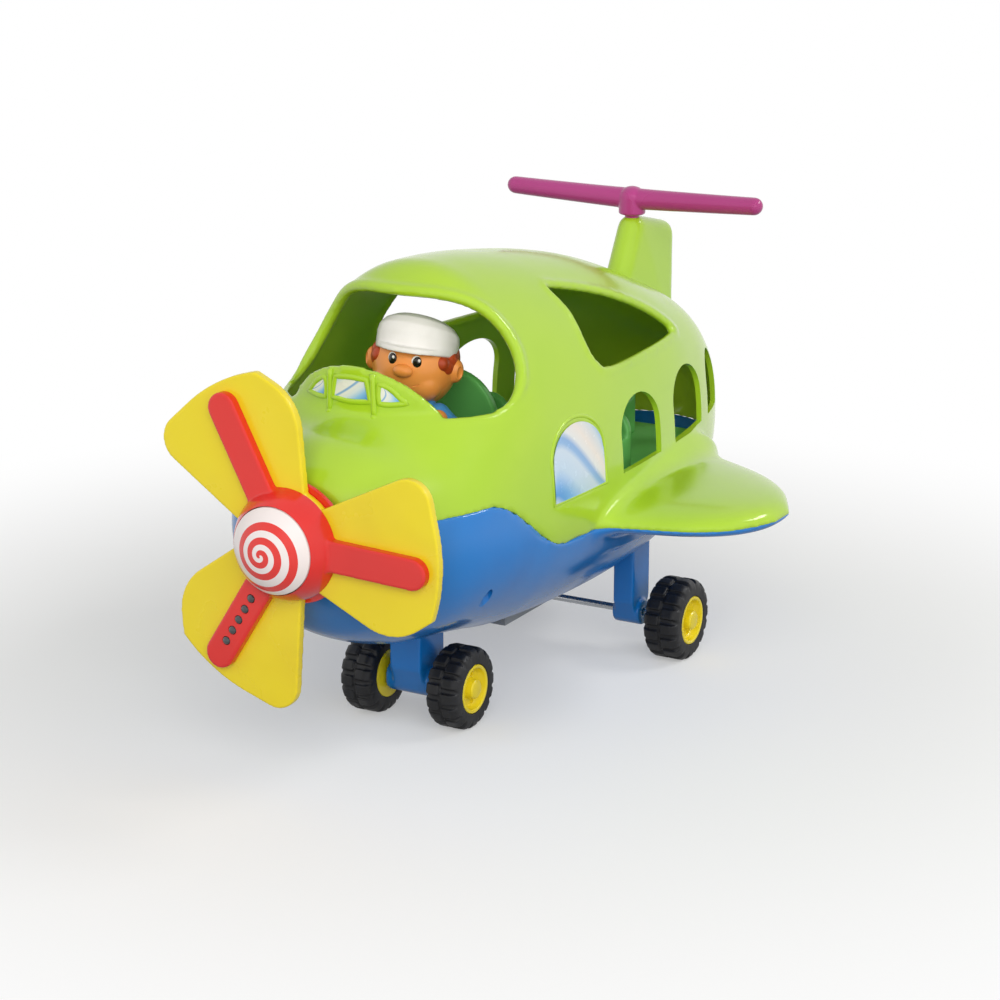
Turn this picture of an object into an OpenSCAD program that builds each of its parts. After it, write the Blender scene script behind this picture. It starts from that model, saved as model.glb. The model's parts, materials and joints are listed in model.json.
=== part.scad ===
// Push-along toy airplane: open cabin, spinning propeller, twin nose wheels and a T-bar tail handle.
// Frame: nose toward -Y, port side toward +X, +Z up, origin on the floor under the middle of the length.

/* [Fuselage] */
// Length from the front of the spinner to the tail
overall_len = 420; // [410:1:430]
// Distance from the spinner's front to the flat nose face
nose_gap = 34.5; // [34:0.5:36]
// Width of the fuselage at its widest
body_w = 154; // [150:1:158]
// Height of the roof crown above the floor
roof_z = 234; // [232:1:240]
// Height of the widest line of the fuselage
waist_z = 112; // [111:1:113]
// Height of the lowest line of the belly
belly_z = 40; // [39:0.5:41]
// Thickness of the moulded shells
wall = 3; // [2.6:0.1:3.2]

/* [Cabin] */
// Height of the cockpit sill
sill_z = 171.5; // [170:0.5:173]
// Radius of the cut under the front arch
arch_r = 27; // [26:0.5:28]
// Width of a side window
window_w = 48; // [44:1:50]
// Height of a side window
window_h = 36; // [32:1:37]
// Height of the window sills
window_z = 120; // [119:0.5:122]
// Distance between neighbouring windows
window_pitch = 68; // [66:0.5:69]
// Height of the underside of the cabin floor
floor_z = 104; // [103:0.5:105]
// Height of the dash above the sill
dash_h = 22.5; // [20:0.5:25]

/* [Wings and tail] */
// Span over both wing tips
span = 298; // [286:1:310]
// Height of the wing seam
wing_z = 98; // [97:0.5:99]
// Chord of the wing at its root
wing_chord = 146; // [140:1:150]
// Thickness of the wing at its root
wing_t = 22; // [20:1:24]
// Height of the seam at the nose
seam_nose_z = 130.5; // [130:0.5:132]
// Height of the tail handle's bar
handle_z = 230; // [228:0.5:232]
// Length of the tail handle's bar
handle_len = 158; // [140:1:170]
// Diameter of the tail handle's bar
handle_d = 12.6; // [11:0.2:14]

/* [Propeller] */
// Height of the propeller shaft
axis_z = 122; // [121:0.5:123]
// Diameter over the blades
prop_d = 164; // [156:1:168]
// Diameter of the spinner ball
hub_d = 55; // [53:0.5:56]
// Width of an arm on the spinner
arm_w = 15; // [13:0.5:16]
// Distance from the shaft to the round end of an arm
arm_len = 68.5; // [66:0.5:70]
// Thickness of the blades
blade_t = 4.5; // [4:0.1:5]
// Diameter of the spiral push button
button_d = 41.2; // [40:0.1:42]
// Travel of the spiral push button
button_travel = 2.5; // [1.5:0.1:2.8]
// Diameter of a lamp on the lit arm
lamp_d = 4; // [3:0.2:5]

/* [Drive] */
// Tooth size of the propeller gears
gear_module = 0.75; // [0.7:0.01:0.8]
// Teeth on the motor pinion
pinion_teeth = 12; // [11:1:13]
// Teeth on the propeller gear
gear_teeth = 48; // [46:1:50]
// Diameter of the propeller shaft
shaft_d = 5; // [4.5:0.1:5.5]
// Diameter of the motor can
motor_d = 20; // [18:0.5:21]
// Length of the motor can
motor_len = 25; // [22:0.5:26]

/* [Wheels] */
// Diameter of the nose wheels
nose_wheel_d = 42; // [40:0.5:44]
// Diameter of the main wheels
main_wheel_d = 44; // [42:0.5:46]
// Width of the nose tyres
nose_tyre_w = 18; // [16:0.5:19]
// Width of the main tyres
main_tyre_w = 20; // [18:0.5:22]
// Distance between the centres of the nose wheels
nose_track = 50; // [49:0.5:54]
// Distance between the centres of the main wheels
main_track = 148; // [145:1:154]
// Diameter of the axles
axle_d = 4; // [3.6:0.1:4.4]

/* [Pilot] */
// Height of the pilot figure
pilot_h = 79; // [76:0.5:80]
// Diameter of the pilot's head
head_d = 42; // [40:0.5:43]
// Height that the pilot is lifted off its peg
pilot_lift = 14; // [11:0.5:15]
// Diameter of the seat peg
peg_d = 12; // [10:0.5:13]

/* [Power] */
// Diameter of a battery cell
cell_d = 14.2; // [14:0.1:14.4]
// Length of a battery cell
cell_len = 50; // [49:0.1:50.5]
// Travel of the power switch
switch_travel = 6; // [4:0.5:6.5]
// Diameter of the loudspeaker
speaker_d = 40; // [38:0.5:41]

/* [Clearances] */
// Radial running clearance of the shafts
run_gap = 0.05; // [0.02:0.01:0.08]
// Gap between sliding or dropped-in pieces
slide_gap = 0.4; // [0.3:0.05:0.5]
// Gap between touching pieces of one body
seat_gap = 0.02; // [0.01:0.01:0.05]
// Overrun of cutting shapes past the material
cut = 2; // [1:0.5:3]

/* [Hidden] */
$fn = 64;
mesh_fn = 24;
fine_fn = 32;
post_fn = 16;

lime = "yellowgreen";
blue = "dodgerblue";
red = "red";
emerald = "seagreen";

// Lengthwise places, all worked out from the fuselage's own length
fus_len = overall_len - nose_gap;
y_tail = overall_len / 2;
y_nose = y_tail - fus_len;
function along(share) = y_nose + fus_len * share;
// Place of the blades' front face, behind the tip of the spinner
spinner_reach = 20.5;
prop_y = y_nose - nose_gap + spinner_reach;
half_body = body_w / 2;
roof_rise = roof_z - waist_z;
belly_drop = waist_z - belly_z;
roof_cut = roof_z + cut;

// Fuselage stations: place, width, top, bottom, lift of the widest line, squareness of the section
body_shares = [
    [0, 0.39, 0.31, 0.25, 1, 2],
    [0.016, 0.545, 0.36, 0.39, 0.8, 2],
    [0.042, 0.66, 0.42, 0.58, 0.6, 2.1],
    [0.111, 0.83, 0.49, 0.75, 0.3, 2.1],
    [0.184, 0.91, 0.78, 0.81, 0.1, 2.1],
    [0.249, 0.95, 0.98, 0.875, 0, 2.1],
    [0.3, 0.975, 1, 0.93, 0, 2.1],
    [0.43, 1, 0.96, 0.985, 0, 2.15],
    [0.606, 0.96, 0.86, 1, 0, 2.25],
    [0.741, 0.87, 0.715, 0.89, 0, 2.5],
    [0.87, 0.7, 0.54, 0.68, 0, 2.6],
    [0.961, 0.43, 0.31, 0.39, 0, 2.3],
    [1, 0.1, 0.05, 0.08, 0, 2]
];
// Wing stations: place along the half span, front edge, rear edge, thickness
wing_shares = [
    [0.27, 0, 1, 1],
    [0.51, 0.05, 0.985, 0.98],
    [0.67, 0.096, 0.91, 0.92],
    [0.805, 0.145, 0.815, 0.82],
    [0.906, 0.22, 0.7, 0.68],
    [0.966, 0.315, 0.59, 0.48],
    [1, 0.4, 0.52, 0.16]
];

// Smooth curve through a table: column c at place s
function last_before(table, s) = max([for (i = [0:len(table) - 2]) if (table[i][0] <= s) i]);
function rate(table, i, c) =
    let (a = max(i - 1, 0), b = min(i + 1, len(table) - 1))
    (table[b][c] - table[a][c]) / (table[b][0] - table[a][0]);
function curve(table, s, c) =
    let (
        i = last_before(table, max(s, table[0][0])),
        h = table[i + 1][0] - table[i][0],
        u = (s - table[i][0]) / h,
        w = 1 - u
    )
    table[i][c] * (1 + 2 * u) * w * w + h * rate(table, i, c) * u * w * w
    + table[i + 1][c] * (3 - 2 * u) * u * u - h * rate(table, i + 1, c) * u * u * w;
function smooth(u) = let (v = min(max(u, 0), 1)) v * v * (3 - 2 * v);

// Section of the fuselage at a place, drawn in by an inset
function waist_at(s) = waist_z + (axis_z - waist_z) * curve(body_shares, s, 4);
function width_at(s) = half_body * curve(body_shares, s, 1);
function top_at(s) = waist_z + roof_rise * curve(body_shares, s, 2);
function belly_at(s) = waist_z - belly_drop * curve(body_shares, s, 3);
function belly_under(s, x) =
    let (n = curve(body_shares, s, 5))
    waist_at(s) - (waist_at(s) - belly_at(s)) * pow(1 - pow(abs(x) / width_at(s), n), 1 / n);
function roof_over(s, x) =
    let (n = curve(body_shares, s, 5))
    waist_at(s) + (top_at(s) - waist_at(s)) * pow(1 - pow(abs(x) / width_at(s), n), 1 / n);
function share_of(y) = (y - y_nose) / fus_len;
function oval(y, cx, cz, a, up, down, n, count) = [
    for (k = [0:count - 1])
    let (t = 360 * k / count, c = cos(t), s = sin(t))
    [cx + a * sign(c) * pow(abs(c), 2 / n), y, cz + (s > 0 ? up : down) * sign(s) * pow(abs(s), 2 / n)]
];
body_points = 40;
body_rings = 30;
function body_ring(s, inset) =
    oval(along(s), 0, waist_at(s), width_at(s) - inset, top_at(s) - waist_at(s) - inset,
        waist_at(s) - belly_at(s) - inset, curve(body_shares, s, 5), body_points);

// Solid through a list of rings with equal counts of points
module loft(rings) {
    m = len(rings[0]);
    n = len(rings);
    sides = [
        for (i = [0:n - 2], k = [0:m - 1])
        let (a = i * m + k, d = i * m + (k + 1) % m)
        each [[a, d, d + m], [a, d + m, a + m]]
    ];
    front = [for (k = [m - 1:-1:0]) k];
    back = [for (k = [0:m - 1]) (n - 1) * m + k];
    polyhedron([for (r = rings) each r], concat([front], sides, [back]));
}
module body_form(inset = 0) {
    first = inset / fus_len;
    last = 1 - 2 * inset / fus_len;
    loft([
        for (i = [0:body_rings])
        let (u = (1 - cos(180 * i / body_rings)) / 2)
        body_ring(first + (last - first) * u, inset)
    ]);
}

// Wings, lofted outward from inside the fuselage
wing_front = along(0.378);
half_span = span / 2;
wing_points = 28;
wing_rings = 14;
wing_square = 2.2;
wing_under_share = 0.42;
function wing_ring(s, inset) =
    let (
        a = wing_front + wing_chord * curve(wing_shares, s, 1),
        b = wing_front + wing_chord * curve(wing_shares, s, 2),
        t = wing_t * curve(wing_shares, s, 3)
    )
    oval(half_span * s, -(a + b) / 2, wing_z, (b - a) / 2 - inset, t * (1 - wing_under_share) - inset,
        t * wing_under_share - inset, wing_square, wing_points);
module wing_form(inset = 0) {
    root = wing_shares[0][0];
    hollow_tip_share = 0.94;
    last = inset > 0 ? hollow_tip_share : 1;
    for (side = [0, 1])
        mirror([side, 0, 0])
            rotate([0, 0, -90])
                loft([
                    for (i = [0:wing_rings])
                    wing_ring(root + (last - root) * sin(90 * i / wing_rings), inset)
                ]);
}
module hollow_form() {
    difference() {
        union() {
            body_form();
            wing_form();
        }
        body_form(wall);
        wing_form(wall);
    }
}

// Side-view drawings are extruded across the whole width
wide = span + 2 * cut;
module across(w) {
    rotate([90, 0, 90])
        linear_extrude(w, center = true)
            children();
}
seam_steps = 16;
seam_start_share = 0.15;
seam_end_share = 0.315;
function seam_fall(s) = smooth((s - seam_start_share) / (seam_end_share - seam_start_share));
function seam_z(s) = wing_z + (seam_nose_z - wing_z) * (1 - seam_fall(s));
module above_seam(gap) {
    span_share = seam_end_share - seam_start_share;
    points = [
        for (i = [0:seam_steps])
        let (s = seam_start_share + span_share * i / seam_steps)
        [along(s), seam_z(s) + gap]
    ];
    front = y_nose - fus_len;
    back = y_tail + fus_len;
    across(wide)
        polygon(concat(
            [[front, 2 * roof_z], [front, seam_nose_z + gap]],
            points,
            [[back, wing_z + gap], [back, 2 * roof_z]]
        ));
}

// Openings in the cabin
arch_y = along(0.205);
arch_z = sill_z + arch_r;
arch_lip = 8;
module cockpit_cut() {
    across(wide) {
        translate([y_nose - cut, sill_z])
            square([arch_y + arch_lip - y_nose + cut, roof_cut - sill_z]);
        translate([arch_y, arch_z])
            circle(arch_r);
    }
}
opening_front = along(0.433);
opening_back = along(0.787);
opening_drop = 2.5;
opening_low = sill_z - opening_drop;
module roof_cuts() {
    big = 9;
    small = 5;
    crest = opening_front + (opening_back - opening_front) * 0.36;
    across(wide)
        hull() {
            translate([opening_front + big, opening_low + big])
                circle(big, $fn = fine_fn);
            translate([opening_front + small, top_at(share_of(opening_front)) - 4 * small])
                circle(small, $fn = mesh_fn);
            translate([crest, top_at(share_of(crest)) - 4 * small])
                circle(small, $fn = mesh_fn);
            translate([opening_back - small, opening_low + small / 2])
                circle(small / 2, $fn = mesh_fn);
        }
}
first_window = along(0.345);
rear_window = along(0.837);
module window_shape(w, h) {
    arch = h / 2;
    foot = h / 8;
    hull() {
        translate([-w / 2, 0])
            square([w, foot]);
        translate([0, h - arch])
            scale([w / 2 / arch, 1])
                circle(arch, $fn = fine_fn);
    }
}
module at_window(y) {
    across(wide)
        translate([y, window_z])
            children();
}
rear_window_w = window_w * 0.62;
module window_cuts() {
    for (i = [1, 2])
        at_window(first_window + i * window_pitch)
            window_shape(window_w, window_h);
    at_window(rear_window)
        window_shape(rear_window_w, window_h - wall);
}
// Shallow seat for the printed window beside the pilot
recess = 1.2;
sticker_t = 0.3;
module sticker_seat() {
    intersection() {
        at_window(first_window)
            window_shape(window_w, window_h);
        difference() {
            body_form(-cut);
            body_form(recess);
        }
    }
}

// Raised dash in front of the pilot: a wall bent round a vertical axis under an arched outline
dash_y = along(0.112);
dash_r = 66;
dash_t = 4;
dash_half = 42;
dash_arc = (dash_half * dash_half + dash_h * dash_h) / (2 * dash_h);
dash_root = 7;
module dash_bend(outer, inner) {
    translate([0, dash_y + dash_r, sill_z - dash_root])
        difference() {
            cylinder(r = outer, h = dash_h + dash_root);
            translate([0, 0, -cut])
                cylinder(r = inner, h = dash_h + dash_root + 2 * cut);
        }
}
module toward_nose() {
    translate([0, dash_y + dash_r, 0])
        rotate([90, 0, 0])
            linear_extrude(dash_r + cut)
                children();
}
module dash() {
    intersection() {
        dash_bend(dash_r, dash_r - dash_t, $fn = 96);
        toward_nose()
            translate([0, sill_z + dash_h - dash_arc])
                circle(dash_arc, $fn = 96);
    }
}

// Tail fin, a hollow swept blade with round edges
fin_r = 8;
fin_drop = 9;
fin_top = handle_z - fin_drop;
fin_front = along(0.792);
fin_back = along(0.982);
handle_y = along(0.872);
module fin_form(inset = 0) {
    base = fin_top * 0.74;
    r = fin_r - inset;
    hull() {
        translate([0, fin_front + 2 * fin_r, base + 2 * fin_r])
            sphere(r, $fn = mesh_fn);
        translate([0, handle_y, fin_top - fin_r])
            sphere(r, $fn = mesh_fn);
        translate([0, fin_back - fin_r, fin_top - 2 * fin_r])
            sphere(r, $fn = mesh_fn);
        for (x = [-1, 1])
            translate([x * fin_r / 2, fin_back - 2 * fin_r, base - fin_r])
                sphere(r, $fn = mesh_fn);
        translate([0, fin_front + 2 * fin_r, base - fin_r])
            sphere(r, $fn = mesh_fn);
    }
}
stem_r = 4;
stem_len = 16;
handle_knob_r = 7.5;
handle_knob_h = 16;
handle_lap = 1;
handle_sleeve_len = 17;
handle_sleeve_r = 7;
module fin_skin() {
    difference() {
        fin_form();
        body_form(wall);
    }
}
// Inside of the fin, open to the cabin below, round the socket for the handle's stem
module fin_hollow() {
    difference() {
        fin_form(wall);
        translate([0, handle_y, fin_top - stem_len - wall])
            cylinder(r = stem_r + wall, h = stem_len + wall, $fn = fine_fn);
    }
    translate([0, handle_y, fin_top - stem_len])
        cylinder(r = stem_r + seat_gap, h = stem_len + cut, $fn = fine_fn);
}

// Screw posts that join the two shells: place across, place along
post_r = 5;
screw_r = 1.5;
screw_head_r = 2.8;
screw_head_h = 2;
screw_hole_r = screw_r + slide_gap / 2;
screw_grip = 8;
screw_bite = 10;
screw_spare = 1;
post_inset = 1;
nose_post = [width_at(0.17) - wall - post_r - post_inset, along(0.17)];
wing_post = [half_span * 0.72, wing_front + wing_chord / 2];
tail_post = [width_at(0.86) / 2, along(0.86)];
shell_posts = [
    [nose_post.x, nose_post.y, seam_z(0.17)],
    [-nose_post.x, nose_post.y, seam_z(0.17)],
    [wing_post.x, wing_post.y, wing_z],
    [-wing_post.x, wing_post.y, wing_z],
    [tail_post.x, tail_post.y, wing_z],
    [-tail_post.x, tail_post.y, wing_z]
];
wing_grip = wing_t * wing_under_share / 2;
function grip_of(p) = abs(p.x) > half_body ? wing_grip : screw_grip;
function bite_of(p) = abs(p.x) > half_body ? wing_t / 4 : screw_bite;
module screw(len) {
    translate([0, 0, -screw_head_h])
        cylinder(r = screw_r, h = len + screw_head_h);
    translate([0, 0, -screw_head_h - seat_gap])
        cylinder(r = screw_head_r, h = screw_head_h);
}
function upper_post_h(p) =
    p.y == tail_post.y ? roof_over(share_of(p.y), p.x) - p.z - wall / 2 : bite_of(p) + wall;
module upper_posts() {
    intersection() {
        above_seam(seat_gap);
        for (p = shell_posts)
            translate([p.x, p.y, p.z - post_r])
                difference() {
                    cylinder(r = post_r, h = upper_post_h(p) + post_r, $fn = post_fn);
                    cylinder(r = screw_hole_r, h = bite_of(p) + post_r + screw_spare, $fn = post_fn);
                }
    }
}
module lower_posts() {
    intersection() {
        union() {
            body_form(wall / 2);
            wing_form(wall / 2);
        }
        union() {
            for (p = shell_posts)
                translate([p.x, p.y, 0])
                    cylinder(r = post_r, h = p.z + post_r, $fn = post_fn);
            for (p = rest_posts)
                translate([p.x, p.y, 0])
                    cylinder(r = p[3], h = p.z - seat_gap, $fn = post_fn);
            translate([0, speaker_y, 0])
                cylinder(r = speaker_d / 2 + 2 * wall, h = speaker_z + speaker_rim, $fn = fine_fn);
        }
    }
}
// Posts that stand up through the seam to carry the cabin tray
module tray_rests() {
    intersection() {
        body_form(wall / 2);
        for (p = tray_posts)
            translate([p.x, p.y, 0])
                cylinder(r = p[3], h = p.z - seat_gap, $fn = post_fn);
    }
}
module lower_post_holes() {
    for (p = screwed_posts)
        translate([p.x, p.y, p.z - seat_bite])
            cylinder(r = screw_hole_r, h = seat_bite + cut, $fn = post_fn);
    for (p = shell_posts) {
        translate([p.x, p.y, p.z - grip_of(p)])
            cylinder(r = screw_hole_r, h = grip_of(p) + 2 * post_r, $fn = post_fn);
        translate([p.x, p.y, 0])
            cylinder(r = screw_head_r + slide_gap, h = p.z - grip_of(p), $fn = post_fn);
    }
    translate([0, speaker_y, speaker_z - seat_gap])
        cylinder(r = speaker_d / 2 + slide_gap, h = speaker_rim + cut, $fn = fine_fn);
    intersection() {
        body_form(wall);
        translate([0, speaker_y, 0])
            cylinder(r = speaker_d / 2 - wall, h = 2 * speaker_z, $fn = fine_fn);
    }
}
module shell_screws() {
    color("silver")
        for (p = shell_posts)
            translate([p.x, p.y, p.z - grip_of(p)])
                screw(grip_of(p) + bite_of(p) - screw_spare);
}

// Places of what stands on the belly: across, along, height of the top, radius
tray_front = along(0.19);
tray_back = along(0.83);
nose_gear_share = 0.262;
nose_gear_y = along(nose_gear_share);
main_gear_share = 0.642;
main_gear_y = along(main_gear_share);
rest_r = 3.5;
rest_gap = 1;
rest_out = rest_r + rest_gap;
flange_lift = 6;
flange_t = 3;
flange_lip = 2;
strut_w = 18;
strut_depth = 24;
strut_flange_half = strut_w / 2 + 2 * rest_out;
strut_flange_z = belly_under(nose_gear_share - 0.045, strut_flange_half) + wall + flange_lift;
leg_w = 12;
wheel_room = 11;
leg_stand_share = 0.61;
leg_x = min((main_track - main_tyre_w - leg_w) / 2 - wheel_room, half_body * leg_stand_share);
leg_depth = 20;
leg_flange_z = belly_under(main_gear_share, leg_x + leg_w) + wall + flange_lift;
box_wall = 2;
cell_room = 1.4;
box_w = 3 * (cell_d + cell_room) + 2 * box_wall;
door_screw_room = 8;
contact_room = 4;
box_len = cell_len + 2 * contact_room + door_screw_room + 2 * box_wall;
switch_w = 10;
switch_len = 18;
strut_room = 7.1;
switch_room = 8.1;
switch_y = nose_gear_y + strut_depth / 2 + strut_room + switch_len / 2;
box_y = switch_y + switch_len / 2 + switch_room + box_len / 2;
door_proud = 0.6;
box_low = belly_z - door_proud;
box_head = 9;
box_top = box_low + cell_d + box_head;
box_flange_half = box_w / 2 + 2 * rest_out;
box_flange_z = belly_under(share_of(box_y) - 0.1, box_flange_half) + wall + flange_lift;
speaker_y = along(0.72);
speaker_lift = 12;
speaker_z = belly_at(0.72) + wall + speaker_lift;
speaker_rim = 4;
switch_lift = 1;
switch_z = belly_at(share_of(switch_y) - 0.04) + wall + switch_lift;
switch_rest_r = 2.5;
gearbox_back = 44;
plate_t = 3;
lug_len = 2 * rest_out;
lug_x = 20;
lug_y = prop_y + gearbox_back + 2 * plate_t + lug_len / 2;
gearbox_drop = 32;
gearbox_foot_z = axis_z - gearbox_drop;
tray_post_x = half_body * 0.6;
tray_posts = [
    for (side = [-1, 1])
    each [
        [side * tray_post_x, along(0.33), floor_z, rest_r],
        [side * tray_post_x, along(0.545), floor_z, rest_r],
        [side * tray_post_x * 0.7, along(0.8), floor_z, rest_r]
    ]
];
switch_posts = [
    for (x = [-1, 1], y = [-1, 1])
    [
        x * (switch_w / 2 + switch_rest_r),
        switch_y + y * (switch_len + switch_rest_r) / 2,
        switch_z,
        switch_rest_r
    ]
];
gear_leg_posts = [
    for (side = [-1, 1])
    each [
        [side * (strut_w / 2 + rest_out), nose_gear_y - strut_depth / 4, strut_flange_z, rest_r],
        [side * (strut_w / 2 + rest_out), nose_gear_y + strut_depth / 4, strut_flange_z, rest_r],
        [side * (leg_x - leg_w / 2 - rest_out), main_gear_y, leg_flange_z, rest_r]
    ]
];
box_posts = [
    for (x = [-1, 1], y = [-1, 1])
    [x * (box_w / 2 + rest_out), box_y + y * box_len / 4, box_flange_z, rest_r]
];
lug_posts = [for (side = [-1, 1]) [side * lug_x, lug_y, gearbox_foot_z, rest_r]];
screwed_posts = concat(gear_leg_posts, box_posts, lug_posts);
rest_posts = concat(switch_posts, screwed_posts);
// A screw through a flange of given thickness into each post of a list
seat_bite = flange_lift;
module seat_screws(posts, t) {
    color("silver")
        for (p = posts)
            translate([p.x, p.y, p.z + t])
                mirror([0, 0, 1])
                    screw(t + seat_bite - screw_spare);
}
module flange_holes(posts, t) {
    for (p = posts)
        translate([p.x, p.y, p.z - cut])
            cylinder(r = screw_hole_r, h = t + 2 * cut);
}
module block(size, low) {
    translate([-size.x / 2, -size.y / 2, low])
        cube([size.x, size.y, size.z]);
}
module belly_openings() {
    translate([0, box_y, 0])
        block([box_w + 2 * slide_gap, box_len + 2 * slide_gap, box_flange_z], 0);
    translate([0, nose_gear_y, 0])
        block([strut_w + 2 * slide_gap, strut_depth + 2 * slide_gap, strut_flange_z], 0);
    for (side = [-1, 1])
        translate([side * leg_x, main_gear_y, 0])
            block([leg_w + 2 * slide_gap, leg_depth + 2 * slide_gap, leg_flange_z + 2 * wall], 0);
    translate([0, switch_y, 0])
        block([knob_stem + 2 * slide_gap, knob_stem + switch_travel + 2 * slide_gap, switch_z], 0);
    for (ring = [0:2], k = [0:max(6 * ring - 1, 0)])
        translate([0, speaker_y, 0])
            rotate([0, 0, 60 * k / max(ring, 1)])
                translate([ring * grille_pitch, 0, 0])
                    cylinder(r = grille_r, h = speaker_z, $fn = 12);
    translate([0, y_nose - cut, axis_z])
        rotate([-90, 0, 0])
            cylinder(r = nose_hole_r, h = wall + 2 * cut, $fn = fine_fn);
}
grille_pitch = 5.5;
grille_r = 1.4;
nose_hole_r = 7;

// Casing
module upper_shell() {
    color(lime)
        resize([0, 0, 0])
            difference() {
                union() {
                    difference() {
                        intersection() {
                            hollow_form();
                            above_seam(seat_gap);
                        }
                        cockpit_cut();
                        roof_cuts();
                        window_cuts();
                        sticker_seat();
                    }
                    dash();
                    fin_skin();
                    upper_posts();
                }
                fin_hollow();
            }
}
module lower_shell() {
    color(blue)
        resize([0, 0, 0])
            difference() {
                union() {
                    difference() {
                        union() {
                            hollow_form();
                            lower_posts();
                        }
                        above_seam(-seat_gap);
                    }
                    tray_rests();
                }
                lower_post_holes();
                belly_openings();
            }
}

// Printed windows: three on the dash and one beside the pilot on each side
dash_print_foot = 3;
dash_print_head = 5;
dash_print_low = sill_z + dash_print_foot;
dash_print_high = sill_z + dash_h - dash_print_head;
module dash_stickers() {
    middle = dash_half * 0.28;
    rise = dash_print_high - dash_print_low;
    color("lightsteelblue")
        intersection() {
            dash_bend(dash_r + sticker_t, dash_r + seat_gap);
            toward_nose() {
                translate([0, dash_print_low])
                    polygon([
                        [-middle, 0], [middle, 0], [middle * 0.8, rise], [-middle * 0.8, rise]
                    ]);
                for (side = [-1, 1])
                    translate([0, dash_print_low])
                        polygon([
                            [side * middle * 1.4, 0],
                            [side * dash_half * 0.78, 0],
                            [side * middle * 1.25, rise * 0.85]
                        ]);
            }
        }
}
module side_stickers() {
    color("lightsteelblue")
        resize([0, 0, 0])
            intersection() {
                at_window(first_window)
                    translate([0, slide_gap])
                        window_shape(window_w - 2 * slide_gap, window_h - 2 * slide_gap);
                difference() {
                    body_form(recess - sticker_t);
                    body_form(recess - seat_gap);
                }
            }
}
module tail_handle() {
    color("mediumvioletred")
        translate([0, handle_y, handle_z]) {
            rotate([0, 90, 0])
                cylinder(d = handle_d, h = handle_len - handle_d, center = true);
            rotate([0, 90, 0])
                cylinder(r = handle_sleeve_r, h = handle_sleeve_len, center = true);
            for (side = [-1, 1])
                translate([side * (handle_len - handle_d) / 2, 0, 0])
                    sphere(d = handle_d);
            translate([0, 0, fin_top - handle_z])
                cylinder(r = handle_knob_r, h = handle_knob_h);
            translate([0, 0, fin_top - handle_z - stem_len + handle_lap])
                cylinder(r = stem_r, h = stem_len);
        }
}

// Cabin tray: floor, low front wall and a shelf behind the dash
tray_t = 3;
tray_gap = 2;
tray_steps = 24;
shelf_drop = 9;
shelf_z = sill_z - shelf_drop;
function tray_half(s) = width_at(s) - wall - tray_gap;
module tray_outline(from, to) {
    steps = [for (i = [0:tray_steps]) from + (to - from) * i / tray_steps];
    polygon(concat(
        [for (s = steps) [tray_half(s), along(s)]],
        [for (i = [tray_steps:-1:0]) [-tray_half(steps[i]), along(steps[i])]]
    ));
}
module cabin_tray() {
    front = share_of(tray_front);
    wall_half = width_at(front) * 0.66;
    shelf_half = dash_half * 0.66;
    shelf_front = dash_y + 2 * dash_t;
    color(emerald) {
        translate([0, 0, floor_z])
            linear_extrude(tray_t)
                tray_outline(front, share_of(tray_back));
        translate([-wall_half, tray_front, floor_z])
            cube([2 * wall_half, tray_t, shelf_z - floor_z]);
        translate([0, 0, shelf_z - tray_t])
            linear_extrude(tray_t)
                polygon([
                    [shelf_half, shelf_front], [wall_half, tray_front + tray_t],
                    [-wall_half, tray_front + tray_t], [-shelf_half, shelf_front]
                ]);
    }
}
// Seats: a pan with a back that has a round top
seat_floor = floor_z + tray_t + seat_gap;
module seat(w, depth, pan_h, back_h, back_t, round_r) {
    color(emerald) {
        difference() {
            block([w, depth, pan_h], 0);
            block([w - 2 * wall, depth - 2 * wall, pan_h - wall + cut], -cut);
        }
        translate([0, depth / 2 + back_t, 0])
            rotate([90, 0, 0])
                linear_extrude(back_t)
                    hull() {
                        translate([-w / 2, 0])
                            square([w, pan_h]);
                        for (side = [-1, 1])
                            translate([side * (w / 2 - round_r), back_h - round_r])
                                circle(round_r, $fn = fine_fn);
                    }
    }
}
pilot_y = along(0.256);
lift_room = 11;
pilot_top = roof_z - wall - pilot_lift - lift_room;
pilot_z = pilot_top - pilot_h;
peg_h = 9;
seat_back_t = 5;
pilot_seat_w = 56;
pilot_seat_depth = 50;
pilot_back_h = 68;
pilot_back_round = 26;
peg_ahead = 8;
module pilot_seat() {
    pan = pilot_z - seat_floor - seat_gap;
    translate([0, pilot_y + peg_ahead, seat_floor]) {
        seat(pilot_seat_w, pilot_seat_depth, pan, pilot_back_h, seat_back_t, pilot_back_round);
        color(emerald)
            translate([0, -peg_ahead, pan])
                cylinder(d = peg_d, h = peg_h);
    }
}
cabin_seat_x = 36;
cabin_seat_w = 46;
cabin_seat_depth = 32;
cabin_pan_h = 20;
cabin_back_h = 34;
cabin_back_round = 12;
module cabin_seat() {
    seat(cabin_seat_w, cabin_seat_depth, cabin_pan_h, cabin_back_h, seat_back_t, cabin_back_round);
}
module left_seat() {
    translate([cabin_seat_x, along(0.52), seat_floor])
        cabin_seat();
}
module right_seat() {
    translate([-cabin_seat_x, along(0.52), seat_floor])
        cabin_seat();
}
module rear_seat() {
    translate([0, along(0.72), seat_floor])
        cabin_seat();
}

// Propeller, built on its own axis: drawn z runs aft from the front face of the blades
arm_turns = [-117.5, 2.5, 122.5];
lit_arm = arm_turns[2];
module on_axis(aft = 0) {
    translate([0, prop_y + aft, axis_z])
        rotate([-90, 0, 0])
            children();
}
prop_r = prop_d / 2;
hub_r = hub_d / 2;
arm_front = 3;
arm_back = 1.5;
blade_front = arm_back + seat_gap;
blade_back = blade_front + blade_t;
collar_inset = 1;
collar_lip = 2;
ball_z = hub_r - spinner_reach;
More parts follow.
